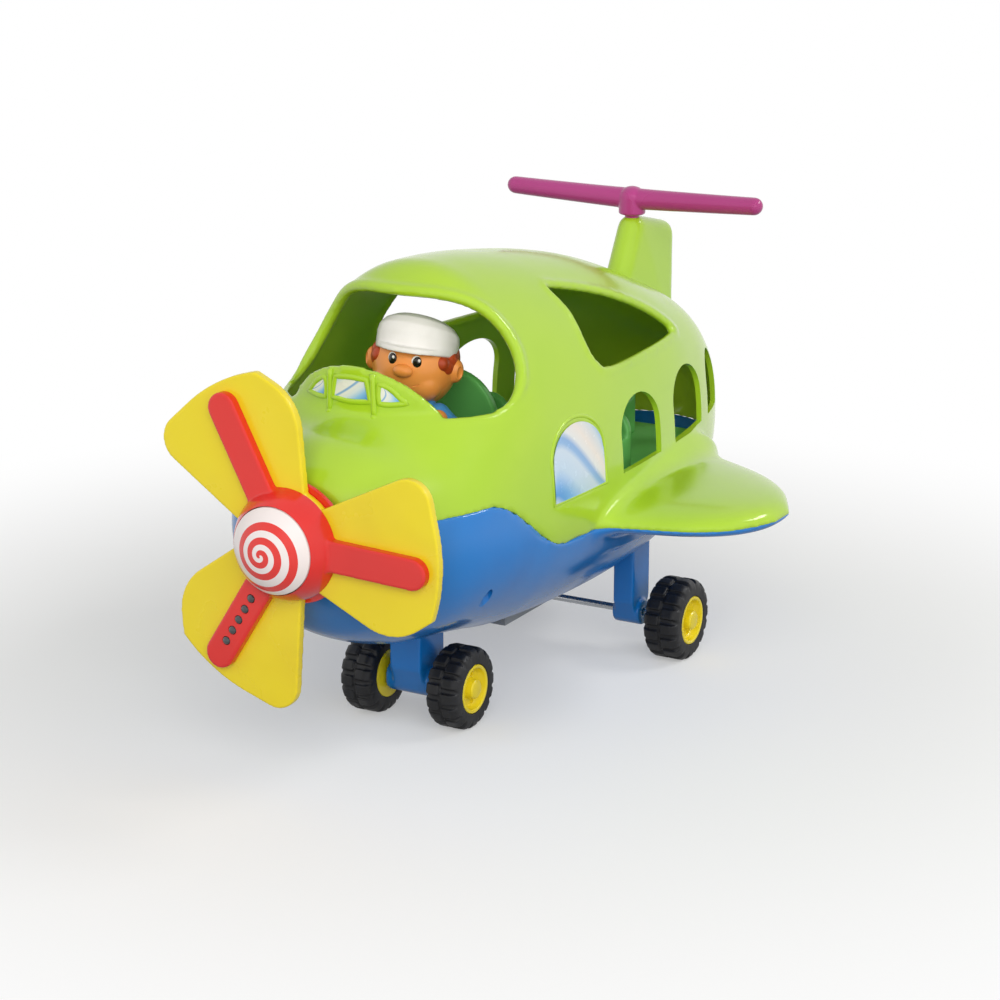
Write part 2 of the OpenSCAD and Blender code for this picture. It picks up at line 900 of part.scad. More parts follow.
// Plan of a blade: one corner full and out to the rim, the other trimmed wide and round
module blade_shape() {
    root = hub_r * 0.7;
    full_root = hub_r * 0.655;
    trim_root = hub_r * 0.68;
    full_r = prop_r * 0.145;
    full_at = prop_r * [0.77, -0.37];
    trim_r = prop_r * 0.317;
    trim_at = prop_r * [0.66, 0.089];
    tip = prop_r * 0.982;
    rim = 16;
    root_round = 2;
    hull() {
        translate([root, -full_root])
            circle(root_round, $fn = mesh_fn);
        translate([root, trim_root])
            circle(root_round, $fn = mesh_fn);
        translate(full_at)
            circle(full_r, $fn = fine_fn);
        translate(trim_at)
            circle(trim_r, $fn = fine_fn);
        polygon([for (a = [-rim:4:rim]) tip * [cos(a), sin(a)], [root, 0]]);
    }
}
module propeller_blades() {
    color("gold")
        on_axis(blade_front)
            difference() {
                linear_extrude(blade_t) {
                    circle(hub_r - collar_inset);
                    for (t = arm_turns)
                        rotate(t)
                            blade_shape();
                }
                translate([0, 0, -cut])
                    cylinder(d = shaft_d + 2 * seat_gap, h = blade_t + 2 * cut);
                hub_screw_holes(blade_t + 2 * cut, -cut);
            }
}
hub_screw_at = 17;
hub_screw_turns = [-57.5, 62.5, 182.5];
module hub_screw_holes(h, low) {
    for (t = hub_screw_turns)
        rotate(t)
            translate([hub_screw_at, 0, low])
                cylinder(r = screw_hole_r, h = h);
}
hub_wall = 2.5;
button_r = button_d / 2;
button_hole_r = button_r + slide_gap;
lamp_first = 33;
lamp_pitch = 6.8;
lamp_count = 5;
module lamp_places() {
    rotate(lit_arm)
        for (i = [0:lamp_count - 1])
            translate([lamp_first + i * lamp_pitch, 0, 0])
                children();
}
module propeller_hub() {
    rear_cut = 2 * hub_d;
    color(red)
        on_axis()
            difference() {
                union() {
                    intersection() {
                        translate([0, 0, ball_z])
                            sphere(hub_r);
                        translate([0, 0, arm_back - rear_cut])
                            cylinder(r = hub_d, h = rear_cut);
                    }
                    translate([0, 0, -arm_front])
                        linear_extrude(arm_front + arm_back)
                            for (t = arm_turns)
                                rotate(t) {
                                    translate([0, -arm_w / 2])
                                        square([arm_len, arm_w]);
                                    translate([arm_len, 0])
                                        circle(d = arm_w);
                                }
                }
                translate([0, 0, -rear_cut])
                    cylinder(r = button_hole_r, h = rear_cut + arm_back + cut);
                lamp_places()
                    translate([0, 0, -arm_front - cut])
                        cylinder(d = lamp_d + slide_gap, h = arm_front + arm_back + 2 * cut);
                rotate(lit_arm)
                    translate([button_r, -strip_w / 2 - slide_gap, arm_back - strip_t - slide_gap])
                        cube([arm_len - button_r, strip_w + 2 * slide_gap, strip_t + slide_gap + cut]);
            }
}
strip_w = 6;
strip_t = 1;
board_inset = 1;
board_r = button_r - board_inset;
module lamp_board() {
    color("darkgreen")
        on_axis() {
            translate([0, 0, arm_back - strip_t]) {
                difference() {
                    cylinder(r = board_r, h = strip_t);
                    translate([0, 0, -cut])
                        cylinder(d = shaft_d + 2 * slide_gap, h = strip_t + 2 * cut);
                    hub_screw_holes(strip_t + 2 * cut, -cut);
                }
                rotate(lit_arm)
                    translate([board_r - board_inset, -strip_w / 2, 0])
                        cube([lamp_first + lamp_count * lamp_pitch - board_r, strip_w, strip_t]);
            }
        }
}
module lamp_lenses() {
    lens_proud = 1;
    lens_top = arm_front + lens_proud;
    lens_low = arm_back - strip_t - seat_gap;
    color("lavender")
        on_axis()
            lamp_places() {
                translate([0, 0, -lens_top + lamp_d / 4])
                    cylinder(d = lamp_d, h = lens_top - lamp_d / 4 + lens_low);
                translate([0, 0, -lens_top + lamp_d / 4])
                    scale(1 / 2)
                        sphere(d = 2 * lamp_d * 0.9);
            }
}
// Spiral push button: a dome that slides in the hub's mouth
button_rim_z = ball_z - sqrt(hub_r * hub_r - button_r * button_r);
button_skirt = 5;
button_t = 2.5;
button_post_r = 4;
pad_h = 2.5;
pad_rim = 2;
module spiral_button() {
    color("whitesmoke")
        on_axis()
            difference() {
                union() {
                    intersection() {
                        translate([0, 0, ball_z])
                            sphere(hub_r);
                        translate([0, 0, button_rim_z - hub_d])
                            cylinder(r = button_r, h = hub_d + button_skirt);
                    }
                }
                difference() {
                    translate([0, 0, ball_z])
                        sphere(hub_r - button_t);
                    translate([0, 0, -hub_d])
                        difference() {
                            cylinder(r = button_r + cut, h = 2 * hub_d);
                            translate([0, 0, -cut])
                                cylinder(r = button_r - button_t, h = 2 * hub_d + 2 * cut);
                        }
                    translate([0, 0, -hub_d])
                        cylinder(r = button_post_r, h = hub_d + button_post_end);
                }
            }
}
button_post_end = arm_back - strip_t - pad_h - button_travel - slide_gap;
module button_pad() {
    color("dimgray")
        on_axis(arm_back - strip_t - pad_h - seat_gap)
            difference() {
                cylinder(r = button_post_r + pad_rim, h = pad_h);
                translate([0, 0, pad_h / 2])
                    cylinder(d = shaft_d + 2 * slide_gap, h = pad_h);
            }
}
collar_gap = 1.5;
collar_step = 3.5;
module back_collar() {
    depth = prop_to_nose - blade_back - collar_gap;
    color(red)
        on_axis(blade_back + seat_gap)
            difference() {
                union() {
                    cylinder(r = hub_r + collar_lip, h = depth - collar_step);
                    cylinder(r = hub_r - collar_inset, h = depth);
                }
                translate([0, 0, -cut])
                    cylinder(d = shaft_d + 2 * seat_gap, h = depth + 2 * cut);
                hub_screw_holes(depth + 2 * cut, -cut);
                for (t = hub_screw_turns)
                    rotate(t)
                        translate([hub_screw_at, 0, depth - collar_step])
                            cylinder(r = screw_head_r + slide_gap, h = collar_step + cut);
            }
}
prop_to_nose = y_nose - prop_y;
module hub_screws() {
    head = blade_back + seat_gap + prop_to_nose - blade_back - collar_gap - collar_step;
    color("silver")
        on_axis(head)
            for (t = hub_screw_turns)
                rotate(t)
                    translate([hub_screw_at, 0, 0])
                        mirror([0, 0, 1])
                            screw(head - arm_back);
}
// Drive: places are measured aft of the propeller's front face
shaft_front = arm_back;
shaft_overhang = 6;
shaft_end = gearbox_back + shaft_overhang;
gearbox_gap = 3;
gearbox_front = prop_to_nose + wall + gearbox_gap;
gear_at = 33;
gear_w = 5;
pinion_lap = 1;
ring_gap = 1;
ring_at = gearbox_front + plate_t + ring_gap;
ring_len = gear_at - ring_at - ring_gap;
ring_r = 7;
ring_step = 1;
module prop_shaft() {
    color("silver")
        on_axis(shaft_front)
            cylinder(d = shaft_d, h = shaft_end - shaft_front);
}
// Involute spur gear
pressure = 20;
backlash = 0.12;
addendum_share = 0.85;
dedendum_share = 1.2;
flank_steps = 4;
function roll(a) = tan(a) * 180 / PI - a;
function flank_turn(r, base) = r <= base ? 0 : roll(acos(base / r));
module spur(teeth, h, bore) {
    pitch_r = gear_module * teeth / 2;
    base = pitch_r * cos(pressure);
    root_r = pitch_r - gear_module * dedendum_share;
    tip_r = pitch_r + gear_module * addendum_share;
    slack = backlash / pitch_r * 90 / PI;
    half = 90 / teeth + roll(pressure) - slack;
    radii = [for (i = [0:flank_steps]) max(root_r, base) + (tip_r - max(root_r, base)) * i / flank_steps];
    side = concat([[root_r, half]], [for (r = radii) [r, half - flank_turn(r, base)]]);
    points = [
        for (k = [0:teeth - 1])
        let (c = 360 * k / teeth)
        each concat(
            [for (p = side) p[0] * [cos(c - p[1]), sin(c - p[1])]],
            [for (i = [len(side) - 1:-1:0]) side[i][0] * [cos(c + side[i][1]), sin(c + side[i][1])]]
        )
    ];
    difference() {
        linear_extrude(h)
            polygon(points);
        translate([0, 0, -cut])
            cylinder(d = bore, h = h + 2 * cut);
    }
}
gear_centres = gear_module * (pinion_teeth + gear_teeth) / 2;
motor_lift = [0, 0, gear_centres];
module drive_gear() {
    color("ivory")
        on_axis(gear_at)
            spur(gear_teeth, gear_w, shaft_d + 2 * seat_gap);
}
module slip_ring() {
    bands = 2;
    band = ring_len / (2 * bands + 1);
    color("goldenrod")
        on_axis(ring_at)
            difference() {
                union() {
                    cylinder(r = ring_r - ring_step, h = ring_len);
                    for (i = [0:bands - 1])
                        translate([0, 0, (2 * i + 1) * band])
                            cylinder(r = ring_r, h = band);
                }
                translate([0, 0, -cut])
                    cylinder(d = shaft_d + 2 * seat_gap, h = ring_len + 2 * cut);
            }
}
frame_r = 30;
rod_r = 3;
rod_at = 25;
rod_turns = [90, -30, 210];
bush_r = 5;
motor_boss_r = 4;
motor_shaft_d = 2;
module gearbox_frame() {
    deep = gearbox_back - gearbox_front;
    color("gray") {
        on_axis(gearbox_front)
            difference() {
                union() {
                    cylinder(r = frame_r, h = plate_t);
                    for (t = rod_turns)
                        rotate(t)
                            translate([rod_at, 0, 0])
                                cylinder(r = rod_r, h = deep);
                }
                translate([0, 0, -cut])
                    cylinder(r = bush_r + seat_gap, h = plate_t + 2 * cut);
            }
        difference() {
            union() {
                on_axis(gearbox_back)
                    cylinder(r = frame_r, h = plate_t);
                translate([-frame_r, prop_y + gearbox_back, gearbox_foot_z])
                    cube([2 * frame_r, 2 * plate_t, frame_r]);
                translate([-frame_r, prop_y + gearbox_back, gearbox_foot_z])
                    cube([2 * frame_r, 2 * plate_t + lug_len, plate_t]);
            }
            on_axis(gearbox_back - cut)
                cylinder(r = bush_r + seat_gap, h = 4 * plate_t);
            translate(motor_lift)
                on_axis(gearbox_back - cut)
                    cylinder(r = motor_boss_r + seat_gap, h = plate_t + 2 * cut);
            flange_holes(lug_posts, plate_t);
        }
    }
}
module bush(aft) {
    color("tan")
        on_axis(aft)
            difference() {
                cylinder(r = bush_r, h = plate_t);
                translate([0, 0, -cut])
                    cylinder(d = shaft_d + 2 * run_gap, h = plate_t + 2 * cut);
            }
}
module front_bush() {
    bush(gearbox_front);
}
module rear_bush() {
    bush(gearbox_back);
}
module gearbox_screws() {
    seat_screws(lug_posts, plate_t);
}
module brush_block() {
    finger_t = 0.8;
    finger_w = 4;
    finger_len = 3;
    brush_w = 2 * finger_w;
    reach = frame_r * 0.6;
    color("saddlebrown")
        on_axis(gearbox_front + plate_t + seat_gap) {
            translate([ring_r + slide_gap + finger_len / 2, -brush_w / 2, 0])
                cube([reach - ring_r, brush_w, ring_len]);
            for (i = [0, 1])
                translate([ring_r + slide_gap, -finger_w / 2, ring_gap + (2 * i + 1) * ring_len / 5])
                    cube([finger_len, finger_w, finger_t]);
        }
}
module motor_can() {
    low = motor_shaft_d / 2 + slide_gap;
    color("silver")
        translate(motor_lift)
            difference() {
                union() {
                    on_axis(gearbox_back + plate_t + seat_gap)
                        cylinder(d = motor_d, h = motor_len);
                    on_axis(gearbox_back + seat_gap)
                        cylinder(r = motor_boss_r, h = 2 * plate_t);
                }
                on_axis(gearbox_back - cut)
                    cylinder(d = motor_shaft_d + 2 * run_gap, h = motor_len / 2 + plate_t);
                on_axis(gearbox_back + plate_t + motor_len / 4)
                    cylinder(r = 2 * low, h = motor_len / 2);
            }
}
module motor_shaft() {
    color("silver")
        translate(motor_lift)
            on_axis(gear_at - pinion_lap)
                cylinder(d = motor_shaft_d, h = gearbox_back + motor_len / 2 - gear_at);
}
module motor_pinion() {
    color("ivory")
        translate(motor_lift)
            on_axis(gear_at - pinion_lap)
                rotate(pinion_turn)
                    spur(pinion_teeth, gear_w + 2 * pinion_lap, motor_shaft_d + 2 * seat_gap);
}
// The gear tooth nearest the pinion, and the turn that sets a pinion gap over it
near_tooth = 360 * round(gear_teeth * 3 / 4) / gear_teeth - 270;
pinion_turn = 90 - near_tooth * gear_teeth / pinion_teeth - 180 / pinion_teeth;

// Landing gear
nose_axle_z = nose_wheel_d / 2;
main_axle_z = main_wheel_d / 2;
nose_boss_r = 8;
main_boss_r = 7;
module leg_profile(boss_r, axle_z, depth, top) {
    hull() {
        translate([0, axle_z])
            circle(boss_r, $fn = fine_fn);
        translate([-depth / 2, axle_z + boss_r])
            square([depth, top - axle_z - boss_r]);
    }
}
module leg(w, boss_r, axle_z, depth, top, flange, shift, boss_w) {
    difference() {
        union() {
            across(w)
                leg_profile(boss_r, axle_z, depth, top);
            translate([0, 0, axle_z])
                rotate([0, 90, 0])
                    cylinder(r = boss_r, h = boss_w, center = true);
            translate([shift, 0, 0])
                block([flange.x, flange.y, flange_t], top);
        }
        translate([0, 0, axle_z])
            rotate([0, 90, 0])
                cylinder(d = axle_d + 2 * run_gap, h = boss_w + wide, center = true);
    }
}
boss_gap = 2;
nose_boss_w = nose_track - nose_tyre_w - 2 * boss_gap;
main_boss_w = leg_w + 2 * boss_gap;
module nose_strut() {
    color(blue)
        difference() {
            translate([0, nose_gear_y, 0])
                leg(strut_w, nose_boss_r, nose_axle_z, strut_depth, strut_flange_z,
                    [2 * strut_flange_half, strut_depth + 2 * flange_lip], 0, nose_boss_w);
            flange_holes(gear_leg_posts, flange_t);
        }
}
module main_leg(side) {
    color(blue)
        difference() {
            translate([side * leg_x, main_gear_y, 0])
                leg(leg_w, main_boss_r, main_axle_z, leg_depth, leg_flange_z,
                    [leg_w + 2 * rest_out + flange_lip, leg_depth + flange_lip],
                    -side * rest_out, main_boss_w);
            flange_holes(gear_leg_posts, flange_t);
        }
}
module left_leg() {
    main_leg(1);
}
module right_leg() {
    main_leg(-1);
}
module leg_screws() {
    seat_screws(gear_leg_posts, flange_t);
}
tyre_round = 4;
lug_count = 16;
lug_depth = 1.4;
hub_share = 0.6;
hub_rim = 2;
hub_cap = 1;
axle_short = 2;
module tyre(d, w) {
    inner = d / 2 * hub_share;
    r = d / 2;
    flat = w / 2 - tyre_round;
    gap = PI * d / lug_count * 0.35;
    rotate([0, 90, 0])
        difference() {
            rotate_extrude() {
                translate([inner, -flat])
                    square([r - inner, 2 * flat]);
                translate([inner, -w / 2])
                    square([r - inner - tyre_round, w]);
                for (side = [-1, 1])
                    translate([r - tyre_round, side * flat])
                        circle(tyre_round);
            }
            for (k = [0:lug_count - 1], side = [0, 1])
                rotate([0, 0, 360 * (k + side / 2) / lug_count])
                    translate([r - lug_depth, -gap / 2, side * (w / 2 + cut) - w / 2 - cut])
                        cube([lug_depth + cut, gap, w / 2 + cut]);
        }
}
module wheel_hub(d, w) {
    r = d / 2 * hub_share - seat_gap;
    dish = w * 0.2;
    rotate([0, 90, 0])
        difference() {
            union() {
                translate([0, 0, -w / 2])
                    cylinder(r = r, h = w - dish);
                cylinder(r = r * 0.4, h = w / 2 + hub_cap);
                translate([0, 0, -w / 2 + dish])
                    difference() {
                        cylinder(r = r, h = w - dish);
                        cylinder(r = r - hub_rim, h = w);
                    }
            }
            translate([0, 0, -w / 2 - cut])
                cylinder(d = axle_d + 2 * seat_gap, h = w + cut - hub_cap);
        }
}
module nose_place(side) {
    translate([side * nose_track / 2, nose_gear_y, nose_axle_z])
        rotate([0, 0, side > 0 ? 0 : 180])
            children();
}
module main_place(side) {
    translate([side * main_track / 2, main_gear_y, main_axle_z])
        rotate([0, 0, side > 0 ? 0 : 180])
            children();
}
module axle(track, w, y, z) {
    color("silver")
        translate([0, y, z])
            rotate([0, 90, 0])
                cylinder(d = axle_d, h = track + w - 2 * axle_short, center = true);
}
module nose_axle() {
    axle(nose_track, nose_tyre_w, nose_gear_y, nose_axle_z);
}
module main_axle() {
    axle(main_track, main_tyre_w, main_gear_y, main_axle_z);
}
module nose_tyre_left() {
    color("black") nose_place(1) tyre(nose_wheel_d, nose_tyre_w);
}
module nose_tyre_right() {
    color("black") nose_place(-1) tyre(nose_wheel_d, nose_tyre_w);
}
module nose_hub_left() {
    color("gold") nose_place(1) wheel_hub(nose_wheel_d, nose_tyre_w);
}
module nose_hub_right() {
    color("gold") nose_place(-1) wheel_hub(nose_wheel_d, nose_tyre_w);
}
module main_tyre_left() {
    color("black") main_place(1) tyre(main_wheel_d, main_tyre_w);
}
module main_tyre_right() {
    color("black") main_place(-1) tyre(main_wheel_d, main_tyre_w);
}
module main_hub_left() {
    color("gold") main_place(1) wheel_hub(main_wheel_d, main_tyre_w);
}
module main_hub_right() {
    color("gold") main_place(-1) wheel_hub(main_wheel_d, main_tyre_w);
}

// Pilot figure: a round body on a seat peg, a ball head with ears and a peaked cap
neck_z = pilot_h * 0.44;
body_r = pilot_h * 0.24;
head_r = head_d / 2;
head_z = neck_z + head_r * 0.93;
ear_r = 6;
ear_sink = 2;
peg_gap = 1;
module at_pilot() {
    translate([0, pilot_y, pilot_z])
        children();
}
module pilot_body() {
    shoulder = neck_z * 0.72;
    arm_r = 5.5;
    color("royalblue")
        at_pilot()
            difference() {
                union() {
                    cylinder(r1 = body_r, r2 = body_r * 0.8, h = shoulder);
                    translate([0, 0, shoulder - seat_gap])
                        cylinder(r1 = body_r * 0.8, r2 = body_r * 0.45, h = neck_z - shoulder);
                    for (side = [-1, 1])
                        hull() {
                            translate([side * body_r * 0.8, 0, shoulder])
                                sphere(arm_r, $fn = mesh_fn);
                            translate([side * body_r, -body_r * 0.5, shoulder / 2])
                                sphere(arm_r, $fn = mesh_fn);
                        }
                }
                translate([0, 0, -cut])
                    cylinder(d = peg_d + 2 * slide_gap, h = peg_h + peg_gap + cut);
                translate([0, 0, head_z])
                    sphere(head_r + seat_gap);
            }
}
cap_low = head_z + head_r * 0.2;
module pilot_head() {
    color("sandybrown")
        at_pilot()
            difference() {
                union() {
                    translate([0, 0, head_z])
                        sphere(head_r);
                    for (side = [-1, 1])
                        translate([side * (head_r - ear_sink), 0, head_z - head_r * 0.1])
                            sphere(ear_r);
                }
                translate([0, 0, cap_low])
                    cylinder(r = head_d, h = head_d);
            }
}
module pilot_cap() {
    band_r = head_r * 1.02;
    crown_r = head_r * 1.14;
    tall = pilot_h - cap_low;
    color("white")
        at_pilot()
            translate([0, 0, cap_low + seat_gap]) {
                cylinder(r = band_r, h = tall * 0.35);
                translate([0, 0, tall * 0.35])
                    cylinder(r1 = band_r, r2 = crown_r, h = tall * 0.3);
                translate([0, 0, tall * 0.65])
                    cylinder(r1 = crown_r, r2 = crown_r * 0.6, h = tall * 0.35 - seat_gap);
                intersection() {
                    translate([0, -head_r * 0.5, 0])
                        cylinder(r = head_r * 0.85, h = tall * 0.16);
                    translate([-head_d, -2 * head_d, 0])
                        cube([2 * head_d, 2 * head_d, tall]);
                }
            }
}

// Power: battery box let into the belly, its door, the board, the loudspeaker and the switch
door_t = 2.2;
door_ledge = 1;
cell_lift = 0.6;
cell_gap = 1.2;
cell_tip = 1.5;
cell_low = box_low + door_t + cell_lift;
cell_pitch = cell_d + cell_gap;
cell_y = box_y - door_screw_room / 2;
door_screw_y = box_len / 2 - box_wall - door_screw_room / 2;
module battery_box() {
    inner = [box_w - 2 * box_wall, box_len - 2 * box_wall, box_top];
    color("dimgray")
        translate([0, box_y, 0])
            difference() {
                union() {
                    block([box_w, box_len, box_top - box_low], box_low);
                    block([2 * box_flange_half, box_len, box_wall], box_flange_z);
                }
                difference() {
                    block([inner.x, inner.y, box_top - box_low - box_wall], box_low);
                    translate([0, door_screw_y + box_wall, 0])
                        block([door_screw_room, door_screw_room + 2 * box_wall, box_top], box_low + door_t);
                }
                block([inner.x + 2 * door_ledge, inner.y + 2 * door_ledge, door_t + cut], box_low - cut);
                translate([0, -box_y, 0])
                    flange_holes(box_posts, box_wall);
                translate([0, door_screw_y, box_low])
                    cylinder(r = screw_hole_r, h = box_top - box_low - box_wall);
            }
}
module box_screws() {
    seat_screws(box_posts, box_wall);
}
module battery_door() {
    size = [
        box_w - 2 * box_wall + 2 * door_ledge - 2 * slide_gap,
        box_len - 2 * box_wall + 2 * door_ledge - 2 * slide_gap,
        door_t - seat_gap
    ];
    color(blue)
        translate([0, box_y, 0])
            difference() {
                block(size, box_low);
                translate([0, door_screw_y, box_low - cut])
                    cylinder(r = screw_hole_r, h = door_t + 2 * cut);
                translate([0, door_screw_y, box_low - cut])
                    cylinder(r = screw_head_r + slide_gap, h = door_t / 2 + cut);
            }
}
module door_screw() {
    color("silver")
        translate([0, box_y + door_screw_y, box_low + door_t / 2])
            screw(screw_bite);
}
module battery_cells() {
    color("slategray")
        for (i = [-1:1])
            translate([i * cell_pitch, cell_y, cell_low + cell_d / 2])
                rotate([90, 0, i == 0 ? 180 : 0]) {
                    cylinder(d = cell_d, h = cell_len - cell_tip, center = true);
                    cylinder(d = cell_d / 3, h = cell_len / 2);
                }
}
contact_t = 0.6;
module battery_contacts() {
    tall = cell_d * 0.75;
    color("gainsboro")
        for (i = [-1:1], end = [-1, 1])
            translate([i * cell_pitch, cell_y + end * (cell_len / 2 + contact_t), cell_low])
                block([tall, contact_t, box_top - box_wall - cell_low - seat_gap], 0);
}
board_t = 1.6;
board_leg = 4;
board_leg_r = 2;
board_margin = 3;
module circuit_board() {
    color("darkgreen")
        translate([0, box_y, 0]) {
            block([box_w - 2 * board_margin, box_len - 4 * board_margin, board_t], box_top + board_leg);
            for (x = [-1, 1], y = [-1, 1])
                translate([x * box_w / 3, y * box_len / 3, box_top + seat_gap])
                    cylinder(r = board_leg_r, h = board_leg);
            block([box_w / 3, box_len / 3, 3 * board_t], box_top + board_leg);
        }
}
speaker_frame = 3;
module speaker() {
    color("dimgray")
        translate([0, speaker_y, speaker_z]) {
            cylinder(d = speaker_d, h = speaker_frame);
            cylinder(d1 = speaker_d * 0.9, d2 = speaker_d * 0.55, h = 2.5 * speaker_frame);
            cylinder(d = speaker_d * 0.5, h = 4 * speaker_frame);
        }
}
module speaker_ring() {
    color("gray")
        translate([0, speaker_y, speaker_z + speaker_frame + seat_gap])
            difference() {
                cylinder(d = speaker_d + slide_gap, h = speaker_frame / 2);
                translate([0, 0, -cut])
                    cylinder(d = speaker_d * 0.92, h = speaker_frame + 2 * cut);
            }
}
knob_stem = 4;
knob_pad = [8, 9, 2.4];
module switch_body() {
    color("dimgray")
        translate([0, switch_y, 0])
            difference() {
                union() {
                    block([switch_w, switch_len, 2 * knob_stem], switch_z);
                    block(
                        [switch_w + 4 * switch_rest_r, switch_len + 3 * switch_rest_r, flange_lip],
                        switch_z
                    );
                }
                block([knob_stem + 2 * slide_gap, knob_stem + switch_travel + 2 * slide_gap, knob_stem],
                    switch_z - seat_gap);
            }
}
module power_switch() {
    pad_top = belly_at(share_of(switch_y) + 0.02) - 2 * slide_gap;
    stem_top = switch_z + knob_stem - slide_gap;
    color("red")
        translate([0, switch_y - switch_travel / 2, 0]) {
            block([knob_pad.x, knob_pad.y, knob_pad.z], pad_top - knob_pad.z);
            block([knob_stem, knob_stem, stem_top - pad_top + seat_gap], pad_top - seat_gap);
        }
}

upper_shell();
lower_shell();
dash_stickers();
side_stickers();
tail_handle();
shell_screws();
cabin_tray();
pilot_seat();
left_seat();
right_seat();
rear_seat();
propeller_blades();
propeller_hub();
back_collar();
prop_shaft();
drive_gear();
slip_ring();
lamp_board();
lamp_lenses();
button_pad();
hub_screws();
spiral_button();
gearbox_frame();
front_bush();
rear_bush();
gearbox_screws();
brush_block();
motor_can();
motor_shaft();
motor_pinion();
nose_strut();
left_leg();
right_leg();
leg_screws();
nose_axle();
nose_tyre_left();
nose_tyre_right();
nose_hub_left();
nose_hub_right();
main_axle();
main_tyre_left();
main_tyre_right();
main_hub_left();
main_hub_right();
pilot_body();
pilot_head();
pilot_cap();
battery_box();
box_screws();
battery_cells();
battery_contacts();
battery_door();
door_screw();
circuit_board();
speaker();
speaker_ring();
switch_body();
power_switch();
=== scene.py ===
"""Looks of a push-along toy airplane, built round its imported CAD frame.

Lengths are in metres. The nose points to -Y, the port wing to +X and up is +Z.
"""

import json
import logging
import math
from collections.abc import Callable, Sequence
from dataclasses import dataclass
from enum import Enum

import bpy
from mathutils import Matrix, Vector


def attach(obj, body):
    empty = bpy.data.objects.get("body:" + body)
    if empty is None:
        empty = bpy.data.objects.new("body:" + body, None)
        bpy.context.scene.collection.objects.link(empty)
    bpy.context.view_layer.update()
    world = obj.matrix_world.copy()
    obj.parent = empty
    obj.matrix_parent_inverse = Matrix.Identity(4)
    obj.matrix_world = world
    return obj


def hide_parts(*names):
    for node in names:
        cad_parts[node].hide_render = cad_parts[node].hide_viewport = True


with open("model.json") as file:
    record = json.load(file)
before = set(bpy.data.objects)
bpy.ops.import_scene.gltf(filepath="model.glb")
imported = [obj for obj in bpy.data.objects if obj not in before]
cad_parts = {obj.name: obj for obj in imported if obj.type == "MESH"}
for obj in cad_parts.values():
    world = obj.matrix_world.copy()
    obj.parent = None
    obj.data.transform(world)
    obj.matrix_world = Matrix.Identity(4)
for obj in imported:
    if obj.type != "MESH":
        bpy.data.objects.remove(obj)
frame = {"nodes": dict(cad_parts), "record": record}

LOG = logging.getLogger("airplane")
MM = 0.001
# Points closer than this are one point
SAME_PLACE = 1e-6
# Degrees over which an edge is rounded, and over which it stays crisp in the shading
BEVEL_ANGLE = 32
CRISP_ANGLE = 35
PLASTIC_IOR = 1.5
Flat = tuple[float, float]
Place = tuple[float, float, float]
Table = tuple[tuple[float, ...], ...]
Stops = tuple[tuple[float, str], ...]
# An egg on the pilot's head: turn from straight ahead, reach, rise, and radii across, outwards and up
Bead = tuple[float, float, float, Place]
Placing = Callable[[float, float, float], Vector]
Mesh = bpy.types.Object


class Body(Enum):
    """CAD bodies that pieces ride on."""

    AIRFRAME = "airframe"
    PROPELLER = "propeller"
    BUTTON = "button"
    NOSE_WHEELS = "nose_wheels"
    MAIN_WHEELS = "main_wheels"
    PILOT = "pilot"
    SWITCH = "switch_knob"


class Blend(Enum):
    """Ways in which one closed mesh acts on another."""

    ADD = "UNION"
    TAKE = "DIFFERENCE"
    KEEP = "INTERSECT"


# Modelling


def only(*objects: Mesh) -> None:
    """Leaves just these objects selected, with the first one active."""
    active = bpy.context.view_layer.objects.active
    if active and active.mode != "OBJECT":
        bpy.ops.object.mode_set(mode="OBJECT")
    bpy.ops.object.select_all(action="DESELECT")
    for obj in objects:
        obj.select_set(True)
    bpy.context.view_layer.objects.active = objects[0] if objects else None


def added(name: str) -> Mesh:
    """Names the object that an operator has just made."""
    obj = bpy.context.view_layer.objects.active
    obj.name = obj.data.name = name
    return obj


def placed(name: str, data: bpy.types.ID) -> Mesh:
    """Puts a mesh, curve, lamp or camera into the scene as a new object."""
    obj = bpy.data.objects.new(name, data)
    bpy.context.collection.objects.link(obj)
    return obj


def whole() -> None:
    """Selects the whole mesh that is being edited."""
    bpy.ops.mesh.select_all(action="SELECT")


def merged() -> None:
    """Merges the selected points that lie in one place."""
    bpy.ops.mesh.remove_doubles(threshold=SAME_PLACE)


def outwards() -> None:
    """Turns the selected faces outwards."""
    bpy.ops.mesh.normals_make_consistent(inside=False)


def in_edit(obj: Mesh, *steps: Callable[[], object]) -> None:
    """Runs operators in edit mode on a whole mesh.

    Args:
        obj: The mesh to work on.
        steps: Calls of operators, in order.
    """
    only(obj)
    bpy.ops.object.mode_set(mode="EDIT")
    whole()
    for step in steps:
        step()
    bpy.ops.object.mode_set(mode="OBJECT")


def closed_up(obj: Mesh) -> None:
    """Merges doubles, fills holes and turns all faces outwards."""
    in_edit(obj, merged, lambda: bpy.ops.mesh.fill_holes(sides=0), outwards)


def apply_modifier(obj: Mesh, kind: str, **settings: object) -> None:
    """Adds a modifier with its settings and applies it.

    Args:
        obj: The mesh that takes the modifier.
        kind: Blender's name of the modifier.
        settings: Values of the modifier's properties.
    """
    only(obj)
    step = obj.modifiers.new(kind, kind)
    for name, value in settings.items():
        setattr(step, name, value)
    bpy.ops.object.modifier_apply(modifier=step.name)


def merge(obj: Mesh, tool: Mesh, how: Blend) -> None:
    """Adds, takes away or keeps what a second closed mesh covers, and removes that mesh.

    Args:
        obj: The mesh that stays.
        tool: The mesh that is used up.
        how: What the tool does.
    """
    apply_modifier(obj, "BOOLEAN", object=tool, operation=how.value, solver="MANIFOLD")
    bpy.data.meshes.remove(tool.data)


def joined(name: str, *parts: Mesh) -> Mesh:
    """Joins meshes into one object under a name."""
    only(*parts)
    bpy.ops.object.join()
    return added(name)


